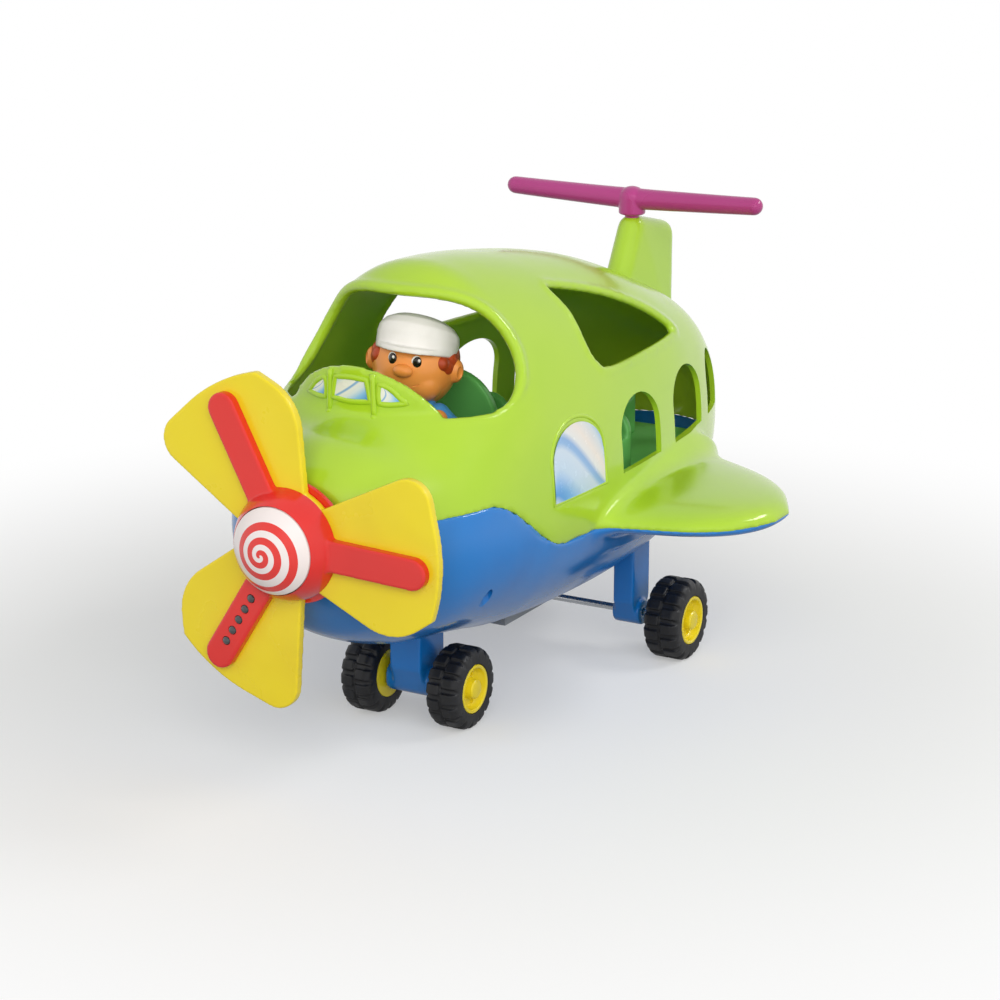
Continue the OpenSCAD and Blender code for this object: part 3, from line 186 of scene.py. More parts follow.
def crisp(obj: Mesh, degrees: float = CRISP_ANGLE) -> None:
    """Smooths the faces of a mesh, apart from edges that are sharper than an angle."""
    only(obj)
    bpy.ops.object.shade_smooth_by_angle(angle=math.radians(degrees))


def moulded(obj: Mesh, voxel: float, rounds: int, limit: int = 190_000) -> Mesh:
    """Fuses overlapping forms into one skin with soft edges, as a mould gives them.

    Args:
        obj: Closed forms in one mesh.
        voxel: Size of the new faces.
        rounds: Passes that soften the edges.
        limit: Most triangles that are kept.

    Returns:
        The same object.
    """
    apply_modifier(obj, "REMESH", mode="VOXEL", voxel_size=voxel)
    apply_modifier(obj, "SMOOTH", factor=0.5, iterations=rounds)
    count = sum(len(face.vertices) - 2 for face in obj.data.polygons)
    if count > limit:
        apply_modifier(obj, "DECIMATE", ratio=limit / count)
    only(obj)
    bpy.ops.object.shade_smooth()
    return obj


def edged(obj: Mesh, width: float, steps: int = 3) -> None:
    """Rounds the sharp edges of a mesh and smooths the faces between them.

    Args:
        obj: The mesh to round.
        width: Width of the rounding.
        steps: Faces across it.
    """
    limit = math.radians(BEVEL_ANGLE)
    apply_modifier(obj, "BEVEL", width=width, segments=steps, limit_method="ANGLE", angle_limit=limit)
    crisp(obj)


def draped(name: str, columns: int, rows: int, place: Callable[[float, float], Vector]) -> Mesh:
    """Lays a grid through points.

    Args:
        name: Name of the mesh.
        columns: Faces across it.
        rows: Faces up it.
        place: Gives the point at a share across and a share up.

    Returns:
        The open mesh.
    """
    only()
    bpy.ops.mesh.primitive_grid_add(x_subdivisions=columns, y_subdivisions=rows, size=1)
    net = added(name)
    for vertex in net.data.vertices:
        vertex.co = place(vertex.co.x + 0.5, vertex.co.y + 0.5)
    return net


def rolled(name: str, along: int, around: int, place: Callable[[float, float], Vector]) -> Mesh:
    """Rolls a grid into a closed skin.

    Args:
        name: Name of the mesh.
        along: Faces along the skin.
        around: Faces round it.
        place: Gives the point at a share along and a share round.

    Returns:
        The closed mesh.
    """
    skin = draped(name, along, around, place)
    closed_up(skin)
    return skin


def turned(name: str, profile: Sequence[Flat], place: Placing, around: int = 64) -> Mesh:
    """Turns a profile round an axis.

    Args:
        name: Name of the mesh.
        profile: Radius and place along the axis of each point, from one end to the other.
        place: Gives the point at two offsets across the axis and a place along it.
        around: Faces round the axis.

    Returns:
        The closed mesh.
    """
    last = len(profile) - 1

    def point(share: float, turn: float) -> Vector:
        """Gives a point of the turned skin."""
        radius, reach = profile[round(share * last)]
        angle = math.tau * turn
        return place(radius * math.cos(angle), radius * math.sin(angle), reach)

    return rolled(name, last, around, point)


def slab(name: str, outline: Sequence[Flat], low: float, high: float, place: Placing) -> Mesh:
    """Fills a flat outline and extrudes it.

    Args:
        name: Name of the mesh.
        outline: Points of the outline, in order.
        low: Where the extrusion starts.
        high: Where it ends.
        place: Gives the point at an outline point and a height.

    Returns:
        The closed mesh.
    """
    only()
    bpy.ops.mesh.primitive_circle_add(vertices=len(outline), fill_type="NGON")
    plate = added(name)
    for vertex, (a, b) in zip(plate.data.vertices, outline):
        vertex.co = place(a, b, low)
    rise = place(*outline[0], high) - place(*outline[0], low)
    in_edit(
        plate,
        lambda: bpy.ops.mesh.extrude_region_move(TRANSFORM_OT_translate={"value": rise}),
        whole,
        outwards,
    )
    return plate


def sheet(name: str, columns: int, rows: int, place: Callable[[float, float], Vector], thick: float) -> Mesh:
    """Bends a thin sheet onto a surface, with its own UV map from edge to edge.

    Args:
        name: Name of the mesh.
        columns: Faces across it.
        rows: Faces up it.
        place: Gives the point at a share across and a share up.
        thick: Its thickness, half of it on each side of the surface.

    Returns:
        The closed mesh.
    """
    film = draped(name, columns, rows, place)
    apply_modifier(film, "SOLIDIFY", thickness=thick, offset=0)
    in_edit(film, merged, outwards)
    crisp(film)
    return film


def swung(obj: Mesh, pivot: Sequence[float], degrees: float, axis: str = "Z") -> Mesh:
    """Turns a mesh about an axis through a point.

    Args:
        obj: The mesh to turn.
        pivot: A point on the axis.
        degrees: How far it turns.
        axis: Name of the axis.

    Returns:
        The same object.
    """
    there = Matrix.Translation(Vector(pivot))
    obj.data.transform(there @ Matrix.Rotation(math.radians(degrees), 4, axis) @ there.inverted())
    return obj


def rod(name: str, centre: Flat, radius: float, low: float, high: float, place: Placing) -> Mesh:
    """Makes a short round bar, for a hole or a post."""
    return slab(name, ring(*centre, radius, 24), low, high, place)


def across(a: float, b: float, height: float) -> Vector:
    """Places a side-view point, with the extrusion across the width."""
    return Vector((height, a, b))


def facing_nose(a: float, b: float, height: float) -> Vector:
    """Places a front-view point, with the extrusion along the length."""
    return Vector((a, height, b))


def upright(a: float, b: float, height: float) -> Vector:
    """Places a plan-view point, with the extrusion upwards."""
    return Vector((a, b, height))


def hull(points: Sequence[Flat]) -> list[Flat]:
    """Finds the outline of a rubber band round flat points.

    Args:
        points: The points, in any order.

    Returns:
        The corners of the band, counter-clockwise.
    """
    ordered = sorted(set(points))
    chains: list[list[Flat]] = []
    for row in (ordered, ordered[::-1]):
        chain: list[Flat] = []
        for p in row:
            while len(chain) > 1:
                (ax, ay), (bx, by) = chain[-2:]
                if (bx - ax) * (p[1] - ay) - (by - ay) * (p[0] - ax) > 0:
                    break
                chain.pop()
            chain.append(p)
        chains.append(chain[:-1])
    return chains[0] + chains[1]


def ring(a: float, b: float, radius: float, count: int = 32, tall: float = 1.0) -> list[Flat]:
    """Gives the points of a circle, or of an ellipse that is taller by a factor."""
    turns = [math.tau * k / count for k in range(count)]
    return [(a + radius * math.cos(t), b + radius * tall * math.sin(t)) for t in turns]


def tube(name: str, path: Sequence[Vector], radii: Sequence[float], closed: bool) -> Mesh:
    """Sweeps a round bead along a path.

    Args:
        name: Name of the mesh.
        path: Points of the path.
        radii: Radius of the bead at each point.
        closed: Whether the path meets its start.

    Returns:
        The closed mesh.
    """
    curve = bpy.data.curves.new(name, "CURVE")
    curve.dimensions = "3D"
    curve.bevel_depth = 1
    curve.bevel_resolution = 4
    curve.use_fill_caps = not closed
    line = curve.splines.new("POLY")
    line.points.add(len(path) - 1)
    for point, place, radius in zip(line.points, path, radii):
        point.co = (*place, 1)
        point.radius = radius
    line.use_cyclic_u = closed
    only(placed(name, curve))
    bpy.ops.object.convert(target="MESH")
    bead = added(name)
    closed_up(bead)
    return bead


def lump(name: str, centre: Sequence[float], radii: Sequence[float], count: int = 32) -> Mesh:
    """Makes an egg-shaped lump, which is later fused into a larger form.

    Args:
        name: Name of the mesh.
        centre: Its middle.
        radii: Its half sizes.
        count: Faces round it.

    Returns:
        The mesh, with its place in its points.
    """
    only()
    bpy.ops.mesh.primitive_uv_sphere_add(segments=count, ring_count=count // 2, radius=1)
    egg = added(name)
    for vertex in egg.data.vertices:
        vertex.co = Vector([c + r * v for c, r, v in zip(centre, radii, vertex.co)])
    return egg


def copied(node: str, name: str) -> Mesh:
    """Copies a CAD node's mesh into a new object and merges its loose triangles.

    Args:
        node: Name of the CAD node.
        name: Name of the new piece.

    Returns:
        The new object.
    """
    copy = placed(name, frame["nodes"][node].data.copy())
    copy.data.materials.clear()
    in_edit(copy, merged)
    return copy


# Finishes


def linear(code: str) -> tuple[float, float, float, float]:
    """Turns an sRGB hex value into a linear colour."""
    parts = [int(code[i : i + 2], 16) / 255 for i in (1, 3, 5)]
    return (*(p / 12.92 if p <= 0.04045 else ((p + 0.055) / 1.055) ** 2.4 for p in parts), 1.0)


Socket = bpy.types.NodeSocket
Settings = dict[str | int, object]


def add_node(
    tree: bpy.types.NodeTree, kind: str, settings: Settings, links: dict[str | int, Socket] | None = None
) -> bpy.types.Node:
    """Adds a node with its settings and links.

    Args:
        tree: The tree that takes the node.
        kind: The node's type, without its prefix.
        settings: Values of properties, or of inputs by name or number.
        links: The output that feeds each input.

    Returns:
        The new node.
    """
    node = tree.nodes.new("ShaderNode" + kind)
    for name, value in settings.items():
        if isinstance(name, int) or name in node.inputs:
            node.inputs[name].default_value = value
        else:
            setattr(node, name, value)
    for name, source in (links or {}).items():
        tree.links.new(source, node.inputs[name])
    return node


def per_size(size_mm: float) -> float:
    """Gives the scale of a pattern whose features have a real size."""
    return 1 / (size_mm * MM)


def new_material(name: str) -> tuple[bpy.types.Material, bpy.types.NodeTree, Socket]:
    """Starts an empty material.

    Args:
        name: Name of the material.

    Returns:
        The material, its tree and the object's own coordinates.
    """
    made = bpy.data.materials.new(name)
    made.use_nodes = True
    made.node_tree.nodes.clear()
    place = add_node(made.node_tree, "TexCoord", {}).outputs["Object"]
    return made, made.node_tree, place


def uneven(tree: bpy.types.NodeTree, place: Socket, size_mm: float, ends: Flat) -> Socket:
    """Gives a roughness that drifts between two ends.

    Args:
        tree: The material's tree.
        place: The coordinates of the pattern.
        size_mm: Real size of its patches.
        ends: Least and most roughness.

    Returns:
        The roughness.
    """
    patches = add_node(tree, "TexNoise", {"Scale": per_size(size_mm), "Detail": 3.0}, {"Vector": place})
    span = {"To Min": ends[0], "To Max": ends[1]}
    return add_node(tree, "MapRange", span, {"Value": patches.outputs["Fac"]}).outputs[0]


def close_material(tree: bpy.types.NodeTree, settings: Settings, links: dict[str | int, Socket]) -> None:
    """Ends a material with its principled surface.

    Args:
        tree: The material's tree.
        settings: Values of the surface's inputs.
        links: What feeds its other inputs.
    """
    surface = add_node(tree, "BsdfPrincipled", settings, links)
    add_node(tree, "OutputMaterial", {}, {"Surface": surface.outputs[0]})


@dataclass(frozen=True)
class Moulding:
    """Injection-moulded plastic: even pigment with faint flow marks and a fine texture from the mould."""

    name: str
    colour: str
    flow_colour: str
    smooth: float = 0.2
    dull: float = 0.3
    coat: float = 0.15
    texture: float = 0.03
    flow_mm: float = 70.0
    haze_mm: float = 28.0
    # The real texture is finer than a pixel, so it is drawn coarser
    texture_mm: float = 0.9
    coat_dull: float = 0.12

    def build(self) -> bpy.types.Material:
        """Makes the material."""
        made, tree, place = new_material(self.name)
        flow = add_node(
            tree, "TexNoise", {"Scale": per_size(self.flow_mm), "Detail": 3.0, "Distortion": 0.6},
            {"Vector": place},
        )
        pigment = add_node(
            tree, "MapRange", {"From Min": 0.35, "From Max": 0.7, "To Min": 0.0, "To Max": 1.0},
            {"Value": flow.outputs["Fac"]},
        )
        colour = add_node(
            tree, "Mix", {"data_type": "RGBA", 6: linear(self.colour), 7: linear(self.flow_colour)},
            {0: pigment.outputs[0]},
        )
        haze = add_node(tree, "TexNoise", {"Scale": per_size(self.haze_mm), "Detail": 4.0}, {"Vector": place})
        gloss = add_node(
            tree, "MapRange",
            {"From Min": 0.35, "From Max": 0.65, "To Min": self.smooth, "To Max": self.dull},
            {"Value": haze.outputs["Fac"]},
        )
        grain = add_node(
            tree, "TexNoise", {"Scale": per_size(self.texture_mm), "Detail": 2.0}, {"Vector": place}
        )
        bump = add_node(
            tree, "Bump", {"Strength": self.texture, "Distance": 0.1 * MM}, {"Height": grain.outputs["Fac"]}
        )
        close_material(
            tree,
            {"IOR": PLASTIC_IOR, "Coat Weight": self.coat, "Coat Roughness": self.coat_dull},
            {"Base Color": colour.outputs[2], "Roughness": gloss.outputs[0], "Normal": bump.outputs[0]},
        )
        return made


@dataclass(frozen=True)
class PrintedFilm:
    """Pearly printed film: silver white with a slanting blue line and a blue corner, under a clear gloss."""

    name: str
    mirrored: bool = False
    stops: Stops = (
        (0.0, "#b9d2e2"), (0.2, "#e4e3dc"), (0.4, "#eae8e1"), (0.435, "#7fa9d8"), (0.465, "#86afdc"),
        (0.5, "#e6e5df"), (0.64, "#d3dde4"), (0.8, "#86bbe8"), (1.0, "#2a80d2"),
    )
    lean: float = 0.8
    dust_mm: float = 6.0
    roughness: Flat = (0.16, 0.34)
    coat: float = 0.6
    coat_dull: float = 0.06

    def build(self) -> bpy.types.Material:
        """Makes the material."""
        made, tree, place = new_material(self.name)
        sheet_place = add_node(tree, "TexCoord", {}).outputs["UV"]
        parts = add_node(tree, "SeparateXYZ", {}, {0: sheet_place})
        ends = {"To Min": 1.0, "To Max": 0.0} if self.mirrored else {"To Min": 0.0, "To Max": 1.0}
        over = add_node(tree, "MapRange", ends, {"Value": parts.outputs["X"]})
        rise = add_node(tree, "Math", {"operation": "MULTIPLY", 1: -self.lean}, {0: parts.outputs["Y"]})
        slant = add_node(tree, "Math", {"operation": "ADD"}, {0: rise.outputs[0], 1: over.outputs[0]})
        band = add_node(
            tree, "MapRange", {"From Min": -self.lean, "From Max": 1.0}, {"Value": slant.outputs[0]}
        )
        ramp = add_node(tree, "ValToRGB", {}, {0: band.outputs[0]})
        points = ramp.color_ramp.elements
        for extra, _ in self.stops[1:-1]:
            points.new(extra)
        for point, (at, code) in zip(points, self.stops):
            point.position = at
            point.color = linear(code)
        gloss = uneven(tree, place, self.dust_mm, self.roughness)
        close_material(
            tree,
            {"IOR": PLASTIC_IOR, "Coat Weight": self.coat, "Coat Roughness": self.coat_dull},
            {"Base Color": ramp.outputs[0], "Roughness": gloss},
        )
        return made


# The print beside the pilot: pale at both sides, with a blue foot and a thin blue line
SIDE_STOPS: Stops = (
    (0.0, "#7fb0dc"), (0.14, "#c9d3da"), (0.3, "#e6dcd2"), (0.4, "#dfe0de"), (0.455, "#7fa8d6"),
    (0.49, "#86afda"), (0.54, "#c6d6e4"), (0.68, "#bcd3e6"), (0.82, "#6fa9e2"), (0.9, "#4c93dc"),
    (1.0, "#d5dee6"),
)


@dataclass(frozen=True)
class SpiralPrint:
    """Pad-printed spinner dome: a red arm winds outwards over white plastic, under gloss."""

    name: str
    white: str
    red: str
    axis_height: float
    start_mm: float = 4.72
    power: float = 0.85
    phase: float = 0.058
    white_share: float = 0.46
    # Between these distances from the axis the red arm tapers out
    taper_mm: Flat = (9.0, 20.0)
    taper_power: float = 3.0
    ink_mm: float = 0.05
    ink_edge: float = 0.15
    haze_mm: float = 9.0
    roughness: Flat = (0.14, 0.28)
    coat: float = 0.4
    coat_dull: float = 0.08

    def build(self) -> bpy.types.Material:
        """Makes the material."""
        made, tree, place = new_material(self.name)
        centred = add_node(tree, "Mapping", {"Location": (0, 0, -self.axis_height)}, {"Vector": place})
        parts = add_node(tree, "SeparateXYZ", {}, {0: centred.outputs[0]})
        flat = add_node(tree, "CombineXYZ", {}, {"X": parts.outputs["X"], "Y": parts.outputs["Z"]})
        reach = add_node(tree, "VectorMath", {"operation": "LENGTH"}, {0: flat.outputs[0]})
        far_out = reach.outputs["Value"]
        steps = add_node(tree, "Math", {"operation": "MULTIPLY", 1: per_size(self.start_mm)}, {0: far_out})
        wound = add_node(tree, "Math", {"operation": "POWER", 1: self.power}, {0: steps.outputs[0]})
        angle = add_node(
            tree, "Math", {"operation": "ARCTAN2"}, {0: parts.outputs["Z"], 1: parts.outputs["X"]}
        )
        turn = add_node(
            tree, "Math", {"operation": "MULTIPLY_ADD", 1: 1 / math.tau},
            {0: angle.outputs[0], 2: wound.outputs[0]},
        )
        shifted = add_node(tree, "Math", {"operation": "ADD", 1: self.phase}, {0: turn.outputs[0]})
        band = add_node(tree, "Math", {"operation": "FRACT"}, {0: shifted.outputs[0]})
        near, far = (at * MM for at in self.taper_mm)
        taper = add_node(tree, "MapRange", {"From Min": near, "From Max": far}, {"Value": far_out})
        late = add_node(tree, "Math", {"operation": "POWER", 1: self.taper_power}, {0: taper.outputs[0]})
        share = add_node(
            tree, "Math", {"operation": "MULTIPLY_ADD", 1: 1 - self.white_share, 2: self.white_share},
            {0: late.outputs[0]},
        )
        inked = add_node(
            tree, "Math", {"operation": "GREATER_THAN"}, {0: band.outputs[0], 1: share.outputs[0]}
        )
        colour = add_node(
            tree, "Mix", {"data_type": "RGBA", 6: linear(self.white), 7: linear(self.red)},
            {0: inked.outputs[0]},
        )
        gloss = uneven(tree, place, self.haze_mm, self.roughness)
        bump = add_node(
            tree, "Bump", {"Strength": self.ink_edge, "Distance": self.ink_mm * MM},
            {"Height": inked.outputs[0]},
        )
        close_material(
            tree,
            {"IOR": PLASTIC_IOR, "Coat Weight": self.coat, "Coat Roughness": self.coat_dull},
            {"Base Color": colour.outputs[2], "Roughness": gloss, "Normal": bump.outputs[0]},
        )
        return made


@dataclass(frozen=True)
class Metal:
    """Bright drawn or turned metal: fine marks and patches of duller skin."""

    name: str
    colour: str
    mark_mm: float = 0.5
    mark_depth_mm: float = 0.05
    marks: float = 0.08
    patch_mm: float = 7.0
    roughness: Flat = (0.18, 0.36)

    def build(self) -> bpy.types.Material:
        """Makes the material."""
        made, tree, place = new_material(self.name)
        grooves = add_node(
            tree, "TexNoise", {"Scale": per_size(self.mark_mm), "Detail": 2.0}, {"Vector": place}
        )
        gloss = uneven(tree, place, self.patch_mm, self.roughness)
        bump = add_node(
            tree, "Bump", {"Strength": self.marks, "Distance": self.mark_depth_mm * MM},
            {"Height": grooves.outputs["Fac"]},
        )
        close_material(
            tree,
            {"Base Color": linear(self.colour), "Metallic": 1.0},
            {"Roughness": gloss, "Normal": bump.outputs[0]},
        )
        return made


class Palette:
    """All finishes of the toy, each named for its real material."""

    def __init__(self, axis_height: float) -> None:
        """Makes the materials.

        Args:
            axis_height: Height of the propeller's axis, which the spiral is centred on.
        """
        # Glossy lime ABS: clean, bright and slightly yellower where the flow fronts meet
        self.lime = Moulding("lime_abs", "#a6cc2a", "#aed032", 0.15, 0.24).build()
        # Glossy blue ABS with a slightly deeper flow
        self.blue = Moulding("blue_abs", "#1577c6", "#106cb8", 0.14, 0.24).build()
        # Opaque red ABS with a bright shine
        self.red = Moulding("red_abs", "#dd261e", "#d2201b", 0.1, 0.18).build()
        # Yellow polypropylene, waxier than the shells
        self.yellow = Moulding("yellow_polypropylene", "#ead51e", "#e2c918", 0.24, 0.36, 0.15).build()
        # Magenta ABS of the carrying bar
        self.magenta = Moulding("magenta_abs", "#b0367f", "#a62e74").build()
        # Leaf green polypropylene of the tray and the seats, half matt
        self.leaf = Moulding("leaf_green_polypropylene", "#68b65e", "#5fab56", 0.3, 0.42, 0.1).build()
        # Black soft PVC: dull, with a pebbled skin
        self.tyre = Moulding("black_pvc", "#101012", "#17171a", 0.42, 0.6, 0.0, 0.12, 12, 8, 0.7).build()
        # Soft vinyl of the figure: a waxy skin, coarser in the hair, smooth and pale in the cap
        self.skin = Moulding("tan_vinyl", "#ea9446", "#e2893c", 0.3, 0.42, 0.15, 0.02, 20, 12).build()
        self.hair = Moulding("auburn_vinyl", "#b1431c", "#9c3816", 0.35, 0.5, 0.1, 0.1, 6, 8, 1.6).build()
        self.cap = Moulding("white_vinyl", "#ece8e2", "#e4dfd8", 0.28, 0.4, 0.15, 0.02, 20, 12).build()
        self.shirt = Moulding("blue_vinyl", "#4690cc", "#3d84c0", 0.3, 0.45, 0.1, 0.03, 16, 12).build()
        # Printed eyes under clear gloss; the white also makes a painted highlight dot on each eye
        self.eye_white = Moulding(
            "white_eye_print_and_painted_glint", "#f2efe8", "#ebe7df", 0.15, 0.22, 0.4, 0.01, 8, 8
        ).build()
        self.eye_dark = Moulding("black_eye_print", "#15100e", "#1d1613", 0.12, 0.2, 0.5, 0.01, 8, 8).build()
        # Smoky clear lens over a lamp, seen unlit
        self.lens = Moulding("smoked_acrylic", "#262c2e", "#3a4144", 0.05, 0.12, 0.8, 0.0, 4, 6).build()
        # Inner parts: milky nylon, plain grey ABS, dull paper, shiny wrap and matt silicone
        self.nylon = Moulding("natural_nylon", "#e9e3d2", "#e0d8c4", 0.32, 0.45, 0.0).build()
        self.grey = Moulding("grey_abs", "#8c9095", "#84888d", 0.3, 0.42, 0.1).build()
        self.black = Moulding("black_paper_cone", "#1a1a1c", "#232326", 0.55, 0.75, 0.0, 0.1).build()
        self.cell = Moulding("cell_wrap_film", "#2f5fa8", "#2a559a", 0.2, 0.3, 0.4).build()
        self.pad = Moulding("grey_silicone", "#55585c", "#4d5054", 0.5, 0.65, 0.0, 0.05).build()
        # Solder mask over glass laminate
        self.board = Moulding(
            "green_circuit_laminate", "#1f6b3a", "#1a5f33", 0.25, 0.4, 0.2, 0.08, 5, 4, 0.8
        ).build()
        # Prints: pearly windows, and the red and white spiral
        self.film = PrintedFilm("pearl_printed_film").build()
        self.side_film = PrintedFilm("pearl_printed_side_film", True, SIDE_STOPS).build()
        self.spiral = SpiralPrint("spiral_pad_print", "#ece2df", "#dd2a22", axis_height).build()
        # Bright zinc on the axles and screws, warm brass on the slip ring
        self.steel = Metal("zinc_plated_steel", "#c9ccd0").build()
        self.brass = Metal("bright_brass", "#d9b25c").build()


SLOTS: dict[str, str] = {part["node"]: part["material_slot"] for part in frame["record"]["subparts"]}


def dressed(piece: Mesh, finish: bpy.types.Material, body: Body, *nodes: str, slot: str = "") -> None:
    """Gives a piece its finish and its body, and hides the CAD nodes that it stands for.

    Args:
        piece: The finished piece.
        finish: Its material.
        body: The body that it rides on.
        nodes: CAD nodes that it replaces.
        slot: The record's slot that it belongs to, where it replaces no node; not used.
    """
    piece.data.materials.clear()
    piece.data.materials.append(finish)
    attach(piece, body.value)
    if nodes:
        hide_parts(*nodes)
    LOG.info("%s: %d faces", piece.name, len(piece.data.polygons))


# Forms shared by the casing


def curve(table: Table, share: float, column: int) -> float:
    """Reads a smooth curve through one column of a table of stations.

    Args:
        table: Rows that start with their place.
        share: The place to read.
        column: Which value to read.

    Returns:
        The value on the curve.
    """
    last = len(table) - 1
    at = max(share, table[0][0])
    i = max(k for k in range(last) if table[k][0] <= at)

    def rate(k: int) -> float:
        """Gives the slope at a station."""
        a, b = max(k - 1, 0), min(k + 1, last)
        return (table[b][column] - table[a][column]) / (table[b][0] - table[a][0])

    step = table[i + 1][0] - table[i][0]
    u = (share - table[i][0]) / step
    w = 1 - u
    return (
        table[i][column] * (1 + 2 * u) * w * w
        + step * rate(i) * u * w * w
        + table[i + 1][column] * (3 - 2 * u) * u * u
        - step * rate(i + 1) * u * u * w
    )


def eased(u: float) -> float:
    """Gives a smooth step from 0 to 1."""
    v = min(max(u, 0), 1)
    return v * v * (3 - 2 * v)


def signed_power(value: float, power: float) -> float:
    """Raises a number's size to a power and keeps its sign."""
    return math.copysign(abs(value) ** power, value)


@dataclass(frozen=True)
class Fuselage:
    """The body's skin: rounded sections whose measures run along a table of stations."""

    nose_y: float = -0.1755
    tail_y: float = 0.21
    half_width: float = 0.077
    waist: float = 0.112
    axis: float = 0.122
    roof: float = 0.234
    belly: float = 0.04
    wall: float = 0.003
    # Place, width, top, bottom, lift of the widest line, squareness
    stations: Table = (
        (0, 0.39, 0.31, 0.25, 1, 2), (0.016, 0.545, 0.36, 0.39, 0.8, 2), (0.042, 0.66, 0.42, 0.58, 0.6, 2.1),
        (0.111, 0.83, 0.49, 0.75, 0.3, 2.1), (0.184, 0.91, 0.78, 0.81, 0.1, 2.1),
        (0.249, 0.95, 0.98, 0.875, 0, 2.1), (0.3, 0.975, 1, 0.93, 0, 2.1), (0.43, 1, 0.96, 0.985, 0, 2.15),
        (0.606, 0.96, 0.86, 1, 0, 2.25), (0.741, 0.87, 0.715, 0.89, 0, 2.5), (0.87, 0.7, 0.54, 0.68, 0, 2.6),
        (0.961, 0.43, 0.31, 0.39, 0, 2.3), (1, 0.1, 0.05, 0.08, 0, 2),
    )

    @property
    def length(self) -> float:
        """Length of the fuselage."""
        return self.tail_y - self.nose_y

    def along(self, share: float) -> float:
        """Gives the place along the length at a share of it."""
        return self.nose_y + self.length * share

    def share(self, y: float) -> float:
        """Gives the share of the length at a place."""
        return (y - self.nose_y) / self.length

    def section(self, share: float) -> tuple[float, float, float, float, float]:
        """Gives half width, rise, drop, middle height and squareness at a share of the length."""
        width, top, bottom, lift, square = (curve(self.stations, share, k) for k in range(1, 6))
        middle = self.waist + (self.axis - self.waist) * lift
        rise = self.waist + (self.roof - self.waist) * top - middle
        drop = middle - self.waist + (self.waist - self.belly) * bottom
        return self.half_width * width, rise, drop, middle, square

    def half_at(self, y: float, z: float, inset: float = 0) -> float:
        """Gives the half width of the skin, or of an inset of it, at a place and height, or 0 outside it."""
        half, rise, drop, middle, square = self.section(self.share(y))
        reach = abs(z - middle) / ((rise if z > middle else drop) - inset)
        return (half - inset) * max(1 - reach**square, 0) ** (1 / square)

    def top_at(self, y: float, x: float = 0, inset: float = 0) -> float:
        """Gives the height of the skin, or of an inset of it, over a place."""
        half, rise, _, middle, square = self.section(self.share(y))
        return middle + (rise - inset) * max(1 - (abs(x) / (half - inset)) ** square, 0) ** (1 / square)

    def form(self, name: str, inset: float) -> Mesh:
        """Lofts the body, drawn in by an inset.

        Args:
            name: Name of the mesh.
            inset: How far inside the skin it lies.

        Returns:
            The closed mesh.
        """
        start, end = inset / self.length, 1 - 2 * inset / self.length

        def point(share: float, turn: float) -> Vector:
            """Gives a point of the skin, closer together at both ends."""
            at = start + (end - start) * (share + 0.35 * (eased(share) - share))
            half, rise, drop, middle, square = self.section(at)
            c, s = math.cos(math.tau * turn), math.sin(math.tau * turn)
            tall = (rise if s > 0 else drop) - inset
            x = (half - inset) * signed_power(c, 2 / square)
            return Vector((x, self.along(at), middle + tall * signed_power(s, 2 / square)))

        return rolled(name, 150, 128, point)


@dataclass(frozen=True)
class Wing:
    """Half of the wing: a lens-shaped section that narrows to a round tip, with a filleted root."""

    body: Fuselage
    half_span: float = 0.149
    chord: float = 0.146
    height: float = 0.098
    thick: float = 0.022
    under_share: float = 0.42
    square: float = 2.2
    root_x: float = 0.073
    fillet: float = 0.013
    # Place along the half span, front edge, rear edge, thickness
    stations: Table = (
        (0.27, 0, 1, 1), (0.51, 0.05, 0.985, 0.98), (0.67, 0.096, 0.91, 0.92), (0.805, 0.145, 0.815, 0.82),
        (0.906, 0.22, 0.7, 0.68), (0.966, 0.315, 0.59, 0.48), (1, 0.4, 0.52, 0.16),
    )

    @property
    def front(self) -> float:
        """Place of the front edge at the root."""
        return self.body.along(0.378)

    def form(self, name: str, side: int) -> Mesh:
        """Lofts one wing.

        Args:
            name: Name of the mesh.
            side: 1 for port, -1 for starboard.

        Returns:
            The closed mesh.
        """
        root = self.stations[0][0]

        def point(share: float, turn: float) -> Vector:
            """Gives a point of the wing's skin."""
            at = root + (1 - root) * math.sin(share * math.pi / 2)
            x = self.half_span * at
            near = min(max((self.root_x + self.fillet - x) / self.fillet, 0), 1)
            flare = self.fillet * (1 - math.sqrt(1 - near * near))
            a = self.front + self.chord * curve(self.stations, at, 1) - flare
            b = self.front + self.chord * curve(self.stations, at, 2) + flare
            t = self.thick * curve(self.stations, at, 3)
            c, s = math.cos(math.tau * turn), math.sin(math.tau * turn)
            tall = t * ((1 - self.under_share) if s > 0 else self.under_share) + flare
            y = (a + b) / 2 + (b - a) / 2 * signed_power(c, 2 / self.square)
            return Vector((side * x, y, self.height + tall * signed_power(s, 2 / self.square)))

        return rolled(name, 60, 80, point)


